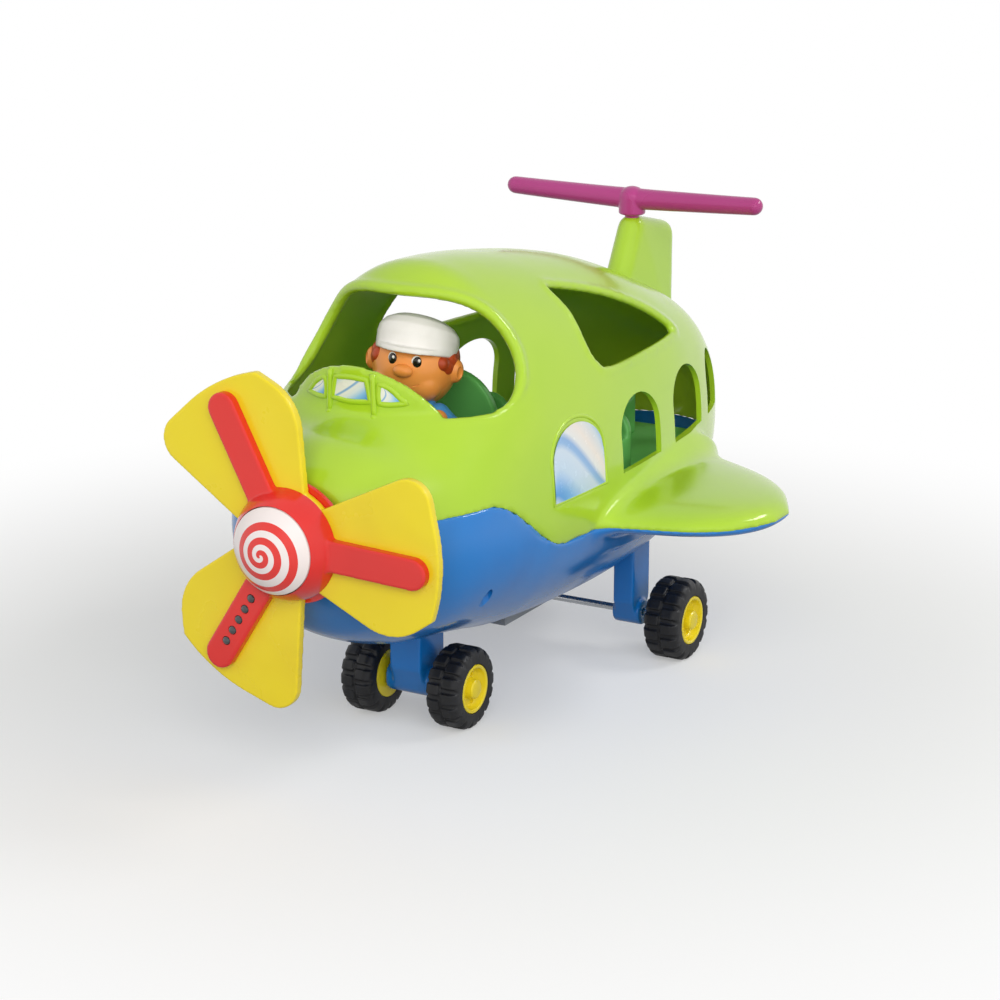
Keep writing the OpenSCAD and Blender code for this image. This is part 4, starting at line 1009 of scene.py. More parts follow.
@dataclass
class Casing:
    """The two moulded shells, with their openings, rims, dash, fin and screw posts."""

    body: Fuselage
    wing: Wing
    paint: Palette
    reach: float = 0.3
    sill: float = 0.1715
    arch_radius: float = 0.027
    arch_share: float = 0.205
    arch_lip: float = 0.008
    brow: float = 0.217
    # Corners and bends of the opening beside the seats, from the front of its sill round to the front again
    opening: tuple[Flat, ...] = (
        (0.004, 0.1715), (0.05, 0.1705), (0.096, 0.171), (0.0995, 0.1745), (0.076, 0.189), (0.04, 0.203),
        (0.0, 0.2132), (-0.0155, 0.2145), (-0.0115, 0.202), (-0.0125, 0.186), (-0.0075, 0.1765),
    )
    window_low: float = 0.12
    window_wide: float = 0.048
    window_tall: float = 0.036
    window_pitch: float = 0.068
    # Places along the length of the printed window beside the pilot and of the narrow one at the rear
    print_share: float = 0.345
    rear_share: float = 0.837
    rear_narrow: float = 0.62
    recess: float = 0.0012
    border: float = 0.0024
    film: float = 0.0003
    film_gap: float = 0.0004
    film_sink: float = 0.0001
    film_rise: float = 0.0002
    seam_nose: float = 0.1305
    seam_from: float = 0.15
    seam_to: float = 0.315
    # How far each shell's rounded lip reaches into the other's
    seam_lap: float = 0.0006
    dash_share: float = 0.112
    dash_radius: float = 0.066
    dash_half: float = 0.042
    dash_rise: float = 0.0225
    dash_thick: float = 0.004
    dash_foot: float = 0.007
    dash_least: float = 0.002
    # The frames and ribs on the dash: radius of their beads, and how far those lie out, in and below the edge
    bead: float = 0.0015
    bead_out: float = 0.0014
    bead_sink: float = 0.0004
    rib_foot: float = 0.001
    rib_top: float = 0.0012
    rib_shares: Flat = (1.36, 1.28)
    knob: Place = (0.0021, 0.0018, 0.0021)
    fin_front: float = 0.1298
    fin_back: float = 0.2031
    fin_foot: float = 0.74
    fin_top: float = 0.221
    fin_half: float = 0.008
    handle_y: float = 0.1607
    print_foot: float = 0.0071
    print_head: float = 0.0065
    print_half: float = 0.0091
    # The outer prints' start and end in shares of the middle one's half width, and their height's share
    print_inner: float = 1.72
    print_outer: float = 2.85
    print_rise: float = 0.75
    print_taper: float = 0.8
    print_tip: float = 0.0015
    post: float = 0.005
    post_gap: float = 0.001
    post_nose: float = 0.17
    post_tail: float = 0.86
    post_wing: float = 0.72
    screw_head: float = 0.0032
    screw_grip: float = 0.008
    # Openings in the belly: width and length, place across and along
    hatches: Table = (
        (0.0508, 0.07, 0, 0.0057), (0.018, 0.024, 0, -0.0745), (0.012, 0.02, 0.04697, 0.072),
        (0.012, 0.02, -0.04697, 0.072), (0.004, 0.01, 0, -0.0464),
    )
    hatch_gap: float = 0.0004
    hatch_depth: float = 0.075
    grille_y: float = 0.102
    grille_pitch: float = 0.0055
    grille_hole: float = 0.0014
    shaft_hole: float = 0.007
    shaft_span: Flat = (-0.18, -0.165)
    # The rolled cockpit rim: its inset, its radius at the sill, what it gains and over how many points
    rim_inset: float = 0.0018
    rim_least: float = 0.0012
    rim_gain: float = 0.002
    rim_run: int = 16
    # Inset and radius of the beads round the side openings and round the printed windows
    side_rim: Flat = (0.0016, 0.0026)
    side_frame: Flat = (0.0006, 0.0012)
    voxel: float = 0.0015
    softening: int = 7
    upper_faces: int = 186_000
    lower_faces: int = 176_000
    sharp: float = 40.0

    def seam_at(self, share: float) -> float:
        """Gives the height of the seam between the shells."""
        fall = eased((share - self.seam_from) / (self.seam_to - self.seam_from))
        return self.wing.height + (self.seam_nose - self.wing.height) * (1 - fall)

    def above_seam(self, shift: float, up: bool) -> Mesh:
        """Makes the block above or below the seam.

        Args:
            shift: How far the block's edge lies above the seam.
            up: Whether the block is the one above.

        Returns:
            The closed block.
        """
        steps = [self.seam_from + (self.seam_to - self.seam_from) * i / 24 for i in range(25)]
        line = [(self.body.along(s), self.seam_at(s) + shift) for s in steps]
        line = [(-self.reach, line[0][1]), *line, (self.reach, line[-1][1])]
        far = self.reach if up else -self.reach
        return self.prism([(-self.reach, far), *line, (self.reach, far)])

    def prism(self, outline: Sequence[Flat]) -> Mesh:
        """Extrudes a side-view outline across the whole width."""
        return slab("opening", outline, -self.reach, self.reach, across)

    def window(self, y: float, wide: float, tall: float) -> list[Flat]:
        """Gives the outline of a window with a flat foot and an arched head.

        Args:
            y: Place of its middle.
            wide: Its width.
            tall: Its height.

        Returns:
            Points of the outline.
        """
        low, foot, half = self.window_low, tall / 8, wide / 2
        corners = [(y + side * half, low + h) for side in (-1, 1) for h in (0, foot)]
        return hull(corners + ring(y, low + tall / 2, half, 64, tall / wide))

    @property
    def print_y(self) -> float:
        """Place of the printed window beside the pilot."""
        return self.body.along(self.print_share)

    def windows(self) -> list[list[Flat]]:
        """Gives the outlines of the open windows on a side."""
        first, wide, tall = self.print_y, self.window_wide, self.window_tall
        full = [self.window(first + i * self.window_pitch, wide, tall) for i in (1, 2)]
        rear = self.body.along(self.rear_share)
        return [*full, self.window(rear, wide * self.rear_narrow, tall - self.body.wall)]

    def roof_opening(self) -> list[Flat]:
        """Draws a smooth line through the points of the opening beside the seats."""
        points = [Vector(p) for p in self.opening]
        steps = 10
        line = []
        for k, start in enumerate(points):
            before, end, after = points[k - 1], points[(k + 1) % len(points)], points[(k + 2) % len(points)]
            for i in range(steps):
                u = i / steps
                rate, late = (end - before) / 2, (after - start) / 2
                spot = start * (1 + 2 * u) * (1 - u) ** 2 + rate * u * (1 - u) ** 2
                spot += end * (3 - 2 * u) * u * u - late * u * u * (1 - u)
                line.append((spot.x, spot.y))
        return line

    def arch(self) -> list[Flat]:
        """Gives the round rear edge of the open cockpit, from the sill up to the roof."""
        y, z = self.body.along(self.arch_share), self.sill + self.arch_radius
        turns = [math.radians(t) for t in range(-90, 91, 3)]
        return [(y + self.arch_radius * math.cos(t), z + self.arch_radius * math.sin(t)) for t in turns]

    def cockpit_edge(self, inset: float) -> list[Vector]:
        """Follows the cockpit's rear edge on the skin, from the port sill up to the middle of the roof.

        Args:
            inset: How far inside the skin the line runs.

        Returns:
            Points of the line.
        """
        lip = self.body.along(self.arch_share) + self.arch_lip
        line = [Vector((self.body.half_at(y, z, inset), y, z)) for y, z in self.arch() if z < self.brow]
        end = line[-1].copy()
        steps = 12
        for k in range(1, steps + 1):
            x = end.x * (1 - k / steps)
            y = lip + (end.y - lip) * (x / end.x) ** 2
            line.append(Vector((x, y, self.body.top_at(y, x, inset))))
        return line

    def cockpit(self) -> list[Mesh]:
        """Makes the tools that open the cockpit: one across the sides and one down through the roof."""
        side = [p for p in self.arch() if p[1] < self.brow]
        high = side[-1][1]
        across_sides = self.prism([(-self.reach, self.sill), *side, (-self.reach, high)])
        roof = [p for p in self.cockpit_edge(0) if p.z >= high]
        port = [(p.x, p.y) for p in roof]
        wide = port[0][0] + self.body.wall
        plan = [(wide, -self.reach), (wide, port[0][1]), *port]
        plan += [(-x, y) for x, y in reversed(plan[:-1])]
        return [across_sides, slab("roof_cut", plan, high - self.body.wall, self.reach, upright)]

    def fin(self) -> Mesh:
        """Stretches a skin round six balls, which gives the fin its sweep and its round edges."""
        r, low = self.fin_half, self.fin_top * self.fin_foot
        front, back = self.fin_front + 2 * r, self.fin_back - 2 * r
        balls = [
            (0, front - r / 2, low + 2 * r), (0, self.handle_y, self.fin_top - r),
            (0, back + r, self.fin_top - 2 * r), (r / 2, back, low - r), (-r / 2, back, low - r),
            (0, front - r, low - r),
        ]
        fin = joined("fin", *(lump("ball", place, (r, r, r)) for place in balls))
        in_edit(
            fin,
            lambda: bpy.ops.mesh.convex_hull(use_existing_faces=False),
            lambda: bpy.ops.mesh.select_all(action="SELECT"),
            lambda: bpy.ops.mesh.normals_make_consistent(inside=False),
        )
        return fin

    def dash_top(self, x: float) -> float:
        """Gives the height of the dash's arched edge."""
        arc = (self.dash_half**2 + self.dash_rise**2) / (2 * self.dash_rise)
        return self.sill + self.dash_rise - arc + math.sqrt(arc * arc - x * x)

    @property
    def dash_centre(self) -> float:
        """Place along the length of the axis that the dash bends round."""
        return self.body.along(self.dash_share) + self.dash_radius

    def dash(self) -> Mesh:
        """Bends the dash wall."""
        low = self.sill - self.dash_foot
        half_turn = math.asin(self.dash_half * 0.995 / self.dash_radius)

        def point(share: float, turn: float) -> Vector:
            """Gives a point round the wall's section, from end to end."""
            angle = half_turn * (2 * share - 1)
            inner, high = 0.25 <= turn < 0.75, turn >= 0.5
            radius = self.dash_radius - (self.dash_thick if inner else 0)
            crest = max(self.dash_top(self.dash_radius * math.sin(angle)), low + self.dash_least)
            z = crest if high and turn < 1 else low
            return Vector((radius * math.sin(angle), self.dash_centre - radius * math.cos(angle), z))

        return rolled("dash_wall", 48, 4, point)

    def on_dash(self, x: float, z: float, out: float = 0) -> Vector:
        """Places a point on the dash's outer face, or out from it."""
        return Vector((x, self.dash_centre - math.sqrt((self.dash_radius + out) ** 2 - x * x), z))

    def prints(self) -> list[list[Flat]]:
        """Gives the corners of the dash's printed windows: two at the foot, then two at the head."""
        low, high = self.sill + self.print_foot, self.sill + self.dash_rise - self.print_head
        mid, rise = self.print_half, high - low
        inner, outer = mid * self.print_inner, mid * self.print_outer
        head, top, tip = low + rise * self.print_rise, mid * self.print_taper, inner + self.print_tip
        return [
            [(-mid, low), (mid, low), (-top, high), (top, high)],
            [(inner, low), (outer, low), (inner, head), (tip, head)],
            [(-outer, low), (-inner, low), (-tip, head), (-inner, head)],
        ]

    def trim(self) -> list[Mesh]:
        """Models the dash's window frames, and its ribs with a knob at each foot."""
        parts = []
        for corners in self.prints():
            mid_x = sum(x for x, _ in corners) / 4
            mid_z = sum(z for _, z in corners) / 4
            loop = [corners[i] for i in (0, 1, 3, 2)]
            path = []
            for (ax, az), (bx, bz) in zip(loop, loop[1:] + loop[:1]):
                for k in range(8):
                    x, z = ax + (bx - ax) * k / 8, az + (bz - az) * k / 8
                    away = Vector((x - mid_x, z - mid_z)).normalized() * self.bead_out
                    path.append(self.on_dash(x + away.x, z + away.y, -self.bead_sink))
            parts.append(tube("dash_frame", path, [self.bead] * len(path), True))
        wide, tall = self.window_wide + self.border, self.window_tall + self.border
        parts += self.side_beads(self.window(self.print_y, wide, tall), *self.side_frame)
        low = self.sill - self.rib_foot
        for side in (-1, 1):
            foot, head = (side * self.print_half * share for share in self.rib_shares)
            high = self.dash_top(head) - self.rib_top
            line = [(foot + (head - foot) * k / 6, low + (high - low) * k / 6) for k in range(7)]
            parts.append(tube("dash_rib", [self.on_dash(x, z) for x, z in line], [self.bead] * 7, False))
            parts.append(lump("rib_knob", self.on_dash(foot, low, self.bead_sink), self.knob, 24))
        return parts

    def side_beads(self, outline: Sequence[Flat], inset: float, radius: float) -> list[Mesh]:
        """Rolls a bead along a side-view outline on both sides.

        Args:
            outline: Points of the outline.
            inset: How far inside the skin the bead lies.
            radius: Its radius.

        Returns:
            The starboard bead and the port one.
        """
        beads = []
        for side in (-1, 1):
            path = [Vector((side * self.body.half_at(y, z, inset), y, z)) for y, z in outline]
            beads.append(tube("side_bead", path, [radius] * len(path), True))
        return beads

    def films(self) -> None:
        """Lays the printed windows on the dash and in the recesses beside the pilot."""
        pieces = []
        for corners in self.prints():
            (ax, az), (bx, _), (cx, cz), (dx, _) = corners

            def on_wall(u: float, v: float) -> Vector:
                """Gives a point between the print's four corners."""
                x = (ax + (bx - ax) * u) * (1 - v) + (cx + (dx - cx) * u) * v
                return self.on_dash(x, az + (cz - az) * v, self.film_rise)

            pieces.append(sheet("print", 16, 8, on_wall, self.film))
        dressed(joined("dash_window_film", *pieces), self.paint.film, Body.AIRFRAME, "dash_stickers")
        y, half, low = self.print_y, self.window_wide / 2 - self.film_gap, self.window_low + self.film_gap
        tall = self.window_tall - 2 * self.film_gap
        pieces = []
        for side in (-1, 1):

            def on_skin(u: float, v: float) -> Vector:
                """Gives a point of the arched print on the recessed skin."""
                t = 2 * u - 1
                top = tall / 2 * (1 + math.sqrt(max(1 - t * t, 0)))
                z = low + top * v
                at = y + half * t
                return Vector((side * (self.body.half_at(at, z) - self.film_sink), at, z))

            pieces.append(sheet("print", 40, 24, on_skin, self.film))
        dressed(joined("side_window_film", *pieces), self.paint.side_film, Body.AIRFRAME, "side_stickers")

    def posts(self) -> list[tuple[float, float, float, float]]:
        """Gives the screw posts: place across and along, height of the seam, depth of the screw's grip."""
        first, last = self.post_nose, self.post_tail
        nose = self.body.section(first)[0] - self.body.wall - self.post - self.post_gap
        tail = self.body.section(last)[0] / 2
        wing = self.wing.half_span * self.post_wing
        grip = self.wing.thick * self.wing.under_share / 2
        rows = [
            (nose, self.body.along(first), self.seam_at(first), self.screw_grip),
            (wing, self.wing.front + self.wing.chord / 2, self.wing.height, grip),
            (tail, self.body.along(last), self.wing.height, self.screw_grip),
        ]
        return [(side * x, y, z, g) for x, y, z, g in rows for side in (1, -1)]

    def belly_cuts(self) -> list[Mesh]:
        """Makes the tools for every opening in the belly."""
        tools = []
        for wide, long, x, y in self.hatches:
            a, b = wide / 2 + self.hatch_gap, long / 2 + self.hatch_gap
            corners = [(x - a, y - b), (x + a, y - b), (x + a, y + b), (x - a, y + b)]
            tools.append(slab("opening", corners, 0.0, self.hatch_depth, upright))
        for x, y, z, grip in self.posts():
            tools.append(rod("screw_hole", (x, y), self.screw_head, 0.0, z - grip, upright))
        for row in range(3):
            for k in range(max(6 * row, 1)):
                turn = math.tau * k / max(6 * row, 1)
                away = self.grille_pitch * row
                x, y = away * math.cos(turn), self.grille_y + away * math.sin(turn)
                hole = ring(x, y, self.grille_hole, 12)
                tools.append(slab("grille", hole, 0.0, self.hatch_depth, upright))
        tools.append(rod("nose_hole", (0, self.body.axis), self.shaft_hole, *self.shaft_span, facing_nose))
        return tools

    def rims(self) -> list[Mesh]:
        """Rolls beads along the edges of the cockpit and of the side openings."""
        half = self.cockpit_edge(self.rim_inset)
        path = half + [Vector((-p.x, p.y, p.z)) for p in reversed(half[:-1])]
        last, run = len(path) - 1, self.rim_run
        radii = [self.rim_least + self.rim_gain * min(i, last - i, run) / run for i in range(last + 1)]
        rim = tube("cockpit_rim", path, radii, False)
        return [rim, *self.side_beads(self.roof_opening(), *self.side_rim)]

    def skin(self) -> Mesh:
        """Fuses the fuselage and wings into one solid form."""
        form = self.body.form("skin", 0)
        for side in (1, -1):
            merge(form, self.wing.form("wing", side), Blend.ADD)
        return form

    def upper(self, shell: Mesh) -> None:
        """Builds the upper shell.

        Args:
            shell: The solid form of fuselage and wings, which becomes the shell.
        """
        merge(shell, self.fin(), Blend.ADD)
        merge(shell, self.body.form("hollow", self.body.wall), Blend.TAKE)
        merge(shell, self.above_seam(-self.seam_lap, False), Blend.TAKE)
        for tool in self.cockpit():
            merge(shell, tool, Blend.TAKE)
        merge(shell, self.prism(self.roof_opening()), Blend.TAKE)
        seat = self.prism(self.window(self.print_y, self.window_wide, self.window_tall))
        merge(seat, self.body.form("seat_floor", self.recess), Blend.TAKE)
        merge(shell, seat, Blend.TAKE)
        shell = joined("lime_upper_shell", shell, self.dash(), *self.rims())
        moulded(shell, self.voxel, self.softening, self.upper_faces)
        for outline in self.windows():
            merge(shell, self.prism(outline), Blend.TAKE)
        crisp(shell, self.sharp)
        shell = joined("lime_upper_shell", shell, *self.trim())
        for face in shell.data.polygons:
            face.use_smooth = True
        dressed(shell, self.paint.lime, Body.AIRFRAME, "upper_shell")

    def lower(self, shell: Mesh) -> None:
        """Builds the lower shell.

        Args:
            shell: The solid form of fuselage and wings, which becomes the shell.
        """
        merge(shell, self.body.form("hollow", self.body.wall), Blend.TAKE)
        merge(shell, self.above_seam(self.seam_lap, True), Blend.TAKE)
        room = self.body.form("room", self.body.wall / 2)
        for side in (1, -1):
            merge(room, self.wing.form("wing_room", side), Blend.ADD)
        posts = [rod("post", (x, y), self.post, 0.0, z, upright) for x, y, z, _ in self.posts()]
        merge(room, joined("posts", *posts), Blend.KEEP)
        merge(shell, room, Blend.ADD)
        shell = joined("blue_lower_shell", shell)
        moulded(shell, self.voxel, self.softening, self.lower_faces)
        merge(shell, joined("belly_cuts", *self.belly_cuts()), Blend.TAKE)
        crisp(shell, self.sharp)
        dressed(shell, self.paint.blue, Body.AIRFRAME, "lower_shell")

    def build(self) -> None:
        """Builds both shells and their films."""
        skin = self.skin()
        spare = placed("lower_skin", skin.data.copy())
        self.upper(skin)
        self.lower(spare)
        self.films()


@dataclass
class Propeller:
    """The spinner with its three arms, the blades, the stepped collar, the spiral button and the lamps."""

    paint: Palette
    axis: float = 0.122
    front: float = -0.1895
    reach: float = 0.082
    ball: float = 0.0275
    ball_back: float = 0.007
    arm_turns: tuple[float, ...] = (117.5, -2.5, -122.5)
    arm_half: float = 0.0075
    arm_reach: float = 0.0685
    arm_rise: float = 0.003
    arm_sink: float = 0.0015
    blade_thick: float = 0.0045
    # Rounds that the blade's outline runs round, in shares of its reach: place outwards and across, radius
    full_corner: Place = (0.77, 0.37, 0.145)
    trimmed_corner: Place = (0.66, -0.089, 0.317)
    blade_end: float = 0.982
    # The blade's root, in shares of the ball: place outwards, and across on both sides
    root_out: float = 0.7
    root_across: Flat = (0.655, -0.68)
    root_round: float = 0.002
    disc_gap: float = 0.001
    arm_bite: float = 0.002
    # Slack between pieces that face each other
    slack: float = 0.0001
    # Span along the axis of the tools that cut through the hub
    cut: Flat = (-0.25, -0.1)
    # The collar's steps: radius and where each one starts, and where the last one ends
    collar_steps: Table = ((0.0295, 0.0), (0.0282, 0.0022), (0.0265, 0.0042))
    collar_end: float = 0.0064
    collar_edge: float = 0.0004
    voxel: float = 0.0006
    button: float = 0.0206
    button_inner: float = 0.0181
    button_skirt: float = 0.005
    button_wall: float = 0.0025
    button_post: float = 0.004
    button_foot: float = -0.1944
    mouth: float = 0.021
    lamp_first: float = 0.033
    lamp_pitch: float = 0.0068
    lamp_count: int = 5
    lamp: float = 0.002
    lamp_room: float = 1.1
    lens_out: float = 0.001
    lens_dome: float = 0.0012
    lens_foot: float = 0.0004

    def on_arm(self, degrees: float) -> Placing:
        """Gives the placing of points drawn along an arm: outwards, across and aft."""
        c, s = math.cos(math.radians(degrees)), math.sin(math.radians(degrees))
        return lambda a, b, height: Vector((a * c - b * s, height, self.axis + a * s + b * c))

    def round_axis(self, a: float, b: float, reach: float) -> Vector:
        """Places a turned point round the propeller's axis."""
        return Vector((a, reach, self.axis + b))

    def blade(self) -> list[Flat]:
        """Gives a blade's outline: one corner full and out to the rim, the other trimmed wide and round."""
        root, end = self.ball * self.root_out, self.reach * self.blade_end
        rim = [math.radians(t) for t in range(-16, 17, 2)]
        points = [(end * math.cos(t), end * math.sin(t)) for t in rim]
        for share in self.root_across:
            points += ring(root, self.ball * share, self.root_round)
        for corner in (self.full_corner, self.trimmed_corner):
            points += ring(*(self.reach * share for share in corner), 96)
        return hull(points)

    def blades(self) -> None:
        """Moulds the three blades round their middle disc."""
        low = self.front + self.arm_sink
        high = low + self.blade_thick
        plates = [slab("blade", self.blade(), low, high, self.on_arm(t)) for t in self.arm_turns]
        disc = slab("disc", ring(0, 0, self.ball - self.disc_gap, 64), low, high, self.on_arm(0))
        plate = moulded(joined("yellow_propeller_blades", disc, *plates), self.voxel, 5, 90_000)
        dressed(plate, self.paint.yellow, Body.PROPELLER, "propeller_blades")

    def hub(self) -> None:
        """Moulds the spinner ball with its arms, and cuts its mouth and lamp holes."""
        centre = (0, self.front + self.ball_back, self.axis)
        ball = lump("ball", centre, (self.ball,) * 3, 128)
        arm = hull(ring(0, 0, self.arm_half) + ring(self.arm_reach, 0, self.arm_half, 64))
        low, high = self.front - self.arm_rise, self.front + self.arm_sink + self.arm_bite
        arms = [slab("arm", arm, low, high, self.on_arm(t)) for t in self.arm_turns]
        hub = moulded(joined("red_spinner_hub", ball, *arms), self.voxel, 8, 120_000)
        back = self.front + self.arm_sink - self.slack
        far = 2 * self.reach
        square = [(-far, -far), (far, -far), (far, far), (-far, far)]
        merge(hub, slab("rear", square, back, back + far, self.on_arm(0)), Blend.TAKE)
        merge(hub, slab("mouth", ring(0, 0, self.mouth, 128), *self.cut, self.on_arm(0)), Blend.TAKE)
        for at in self.lamps():
            hole = ring(at, 0, self.lamp * self.lamp_room, 24)
            merge(hub, slab("lamp_hole", hole, *self.cut, self.on_arm(self.lit_turn)), Blend.TAKE)
        crisp(hub, 40)
        dressed(hub, self.paint.red, Body.PROPELLER, "propeller_hub")

    @property
    def lit_turn(self) -> float:
        """Turn of the arm that carries the lamps."""
        return self.arm_turns[2]

    def lamps(self) -> list[float]:
        """Gives the lamps' distances from the axis."""
        return [self.lamp_first + i * self.lamp_pitch for i in range(self.lamp_count)]

    def collar(self) -> None:
        """Turns the collar behind the blades, which steps down towards the nose."""
        start = self.front + self.arm_sink + self.blade_thick + self.slack
        edge = self.collar_edge
        ends = [reach for _, reach in self.collar_steps[1:]] + [self.collar_end]
        profile = [(0.0, start)]
        for (radius, low), high in zip(self.collar_steps, ends):
            profile += [(radius - edge, start + low), (radius, start + low + edge)]
            profile += [(radius, start + high - edge), (radius - edge, start + high)]
        collar = turned("red_back_collar", [*profile, (0.0, start + ends[-1])], self.round_axis, 96)
        crisp(collar)
        dressed(collar, self.paint.red, Body.PROPELLER, "back_collar")

    def spiral(self) -> None:
        """Turns the domed button, with its skirt and the post that presses the pad."""
        middle = self.front + self.ball_back
        arc = [self.button * math.sin(math.pi / 2 * k / 24) for k in range(24)]
        profile = [(r, middle - math.sqrt(self.ball**2 - r * r)) for r in arc]
        rim = middle - math.sqrt(self.ball**2 - self.button**2)
        inner, skirt, roof = self.button_inner, rim + self.button_skirt, rim + self.button_wall
        post, foot = self.button_post, self.button_foot
        profile += [(self.button - 0.00015, rim - self.slack), (self.button, rim + 0.0003)]
        profile += [(self.button, skirt), (inner, skirt), (inner, roof)]
        profile += [(post, rim + 0.001), (post, foot), (0.0, foot)]
        button = turned("spiral_push_button", profile, self.round_axis, 128)
        crisp(button)
        dressed(button, self.paint.spiral, Body.BUTTON, "spiral_button")

    def lenses(self) -> None:
        """Turns the smoky lamp domes along the lit arm."""
        seat = self.on_arm(self.lit_turn)
        top, foot = self.front - self.arm_rise - self.lens_out, self.front + self.lens_foot
        turns = (0, 0.4, 0.8, 1.15, math.pi / 2)
        profile = [(self.lamp * math.sin(t), top + self.lens_dome * (1 - math.cos(t))) for t in turns]
        profile += [(self.lamp, foot), (0.0, foot)]
        domes = []
        for at in self.lamps():
            domes.append(turned("lens", profile, lambda a, b, reach, at=at: seat(at + a, b, reach), 24))
        lenses = joined("smoked_lamp_lenses", *domes)
        crisp(lenses)
        dressed(lenses, self.paint.lens, Body.PROPELLER, "lamp_lenses")

    def build(self) -> None:
        """Builds all of the propeller."""
        self.blades()
        self.hub()
        self.collar()
        self.spiral()
        self.lenses()


@dataclass(frozen=True)
class WheelSize:
    """Measures of one pair of wheels."""

    body: Body
    stem: str
    diameter: float
    width: float
    track: float
    y: float

    def placing(self, side: int) -> Placing:
        """Gives the placing of points drawn round an axle: two offsets across it and one outwards."""
        x, r = side * self.track / 2, self.diameter / 2
        return lambda a, b, reach: Vector((x + side * reach, self.y + a, r + b))

    def named(self, piece: str, side: int) -> str:
        """Names a piece of the pair as its CAD node is named."""
        return f"{self.stem}_{piece}_{'left' if side > 0 else 'right'}"


@dataclass
class LandingGear:
    """Wheels with lugged tyres and dished hubs, on a nose strut and two legs."""

    paint: Palette
    nose: WheelSize = WheelSize(Body.NOSE_WHEELS, "nose", 0.042, 0.018, 0.05, -0.0745)
    main: WheelSize = WheelSize(Body.MAIN_WHEELS, "main", 0.044, 0.02, 0.148, 0.072)
    shoulder: float = 0.004
    lug_count: int = 16
    lug_rise: float = 0.0014
    lug_share: float = 0.62
    lug_gap: float = 0.0006
    lug_root: float = 0.001
    voxel: float = 0.0005
    dish_share: float = 0.28
    # The rounds in the dish, in shares of the hub: how many, how far out and how large
    round_count: int = 5
    round_out: float = 0.6
    round_size: float = 0.13
    round_depth: float = 0.0008
    hub_share: float = 0.6

    def shoulder_line(self, radius: float, half: float) -> list[Flat]:
        """Gives the round shoulder of a tread as reach and radius, from the tread outwards."""
        turns = [math.pi / 2 * k / 6 for k in range(7)]
        s = self.shoulder
        return [(half - s + s * math.sin(t), radius - s + s * math.cos(t)) for t in turns]

    def tyre(self, size: WheelSize, side: int) -> None:
        """Turns a tyre, sets lugs on both shoulders in turn and fuses them into one rubber skin."""
        place = size.placing(side)
        half, outer = size.width / 2, size.diameter / 2
        inner, floor = outer * self.hub_share, outer - self.lug_rise
        right = self.shoulder_line(floor, half)
        profile = [(inner, -half), *((b, -a) for a, b in reversed(right)), *((b, a) for a, b in right)]
        profile += [(inner, half), (inner, -half)]
        parts = [turned("carcass", profile, place, 96)]
        wide = math.tau * outer / self.lug_count * self.lug_share / 2
        edge, gap, root = self.shoulder_line(outer, half), self.lug_gap, floor - self.lug_root
        outline = [(gap, root), (gap, outer), *edge, (half, root - self.shoulder)]
        for k in range(self.lug_count):
            for hand in (1, -1):
                turn = math.tau * (k + (0.5 if hand < 0 else 0)) / self.lug_count
                c, s = math.cos(turn), math.sin(turn)
                parts.append(slab(
                    "lug", outline, -wide, wide,
                    lambda a, b, h, c=c, s=s, hand=hand: place(b * c - h * s, b * s + h * c, hand * a),
                ))
        node = size.named("tyre", side)
        rubber = moulded(joined(f"black_{node}", *parts), self.voxel, 4, 50_000)
        dressed(rubber, self.paint.tyre, size.body, node)

    def hub(self, size: WheelSize, side: int) -> None:
        """Turns a dished hub with a rolled rim and a domed boss, and sinks five rounds into its dish."""
        place = size.placing(side)
        half, r = size.width / 2, size.diameter / 2 * self.hub_share - 0.0001
        dish, out = size.width * self.dish_share, r * self.round_out
        profile = [
            (0.0, -half), (r, -half), (r, half - 0.0006), (r - 0.0003, half - 0.0001), (r - 0.0012, half),
            (r - 0.0019, half - 0.0004), (r - 0.0026, dish + 0.0012), (r - 0.0034, dish + 0.0003),
            (out, dish), (r * 0.46, dish + 0.0003), (r * 0.41, dish + 0.0012), (r * 0.39, half),
            (r * 0.34, half + 0.0007), (r * 0.2, half + 0.001), (0.0, half + 0.001),
        ]
        node = size.named("hub", side)
        hub = turned(f"yellow_{node}", profile, place, 96)
        for x, y in ring(0, 0, out, self.round_count):
            sunk = ring(x, y, r * self.round_size, 24)
            merge(hub, slab("round", sunk, dish - self.round_depth, half, place), Blend.TAKE)
        crisp(hub, 30)
        dressed(hub, self.paint.yellow, size.body, node)

    def build(self) -> None:
        """Builds all four wheels, the strut and the legs."""
        for size in (self.nose, self.main):
            for side in (1, -1):
                self.tyre(size, side)
                self.hub(size, side)
        for node in ("nose_strut", "left_leg", "right_leg"):
            leg = moulded(copied(node, f"blue_{node}"), 0.0007, 6, 40_000)
            dressed(leg, self.paint.blue, Body.AIRFRAME, node)


@dataclass
class Cabin:
    """The cabin tray and its four seats."""

    paint: Palette
    edge: float = 0.0008

    def build(self) -> None:
        """Softens the moulded edges of the tray and the seats."""
        tray = copied("cabin_tray", "green_cabin_tray")
        edged(tray, self.edge, 2)
        dressed(tray, self.paint.leaf, Body.AIRFRAME, "cabin_tray")
        for node in ("pilot_seat", "left_seat", "right_seat", "rear_seat"):
            seat = moulded(copied(node, f"green_{node}"), 0.0009, 5, 40_000)
            dressed(seat, self.paint.leaf, Body.AIRFRAME, node)


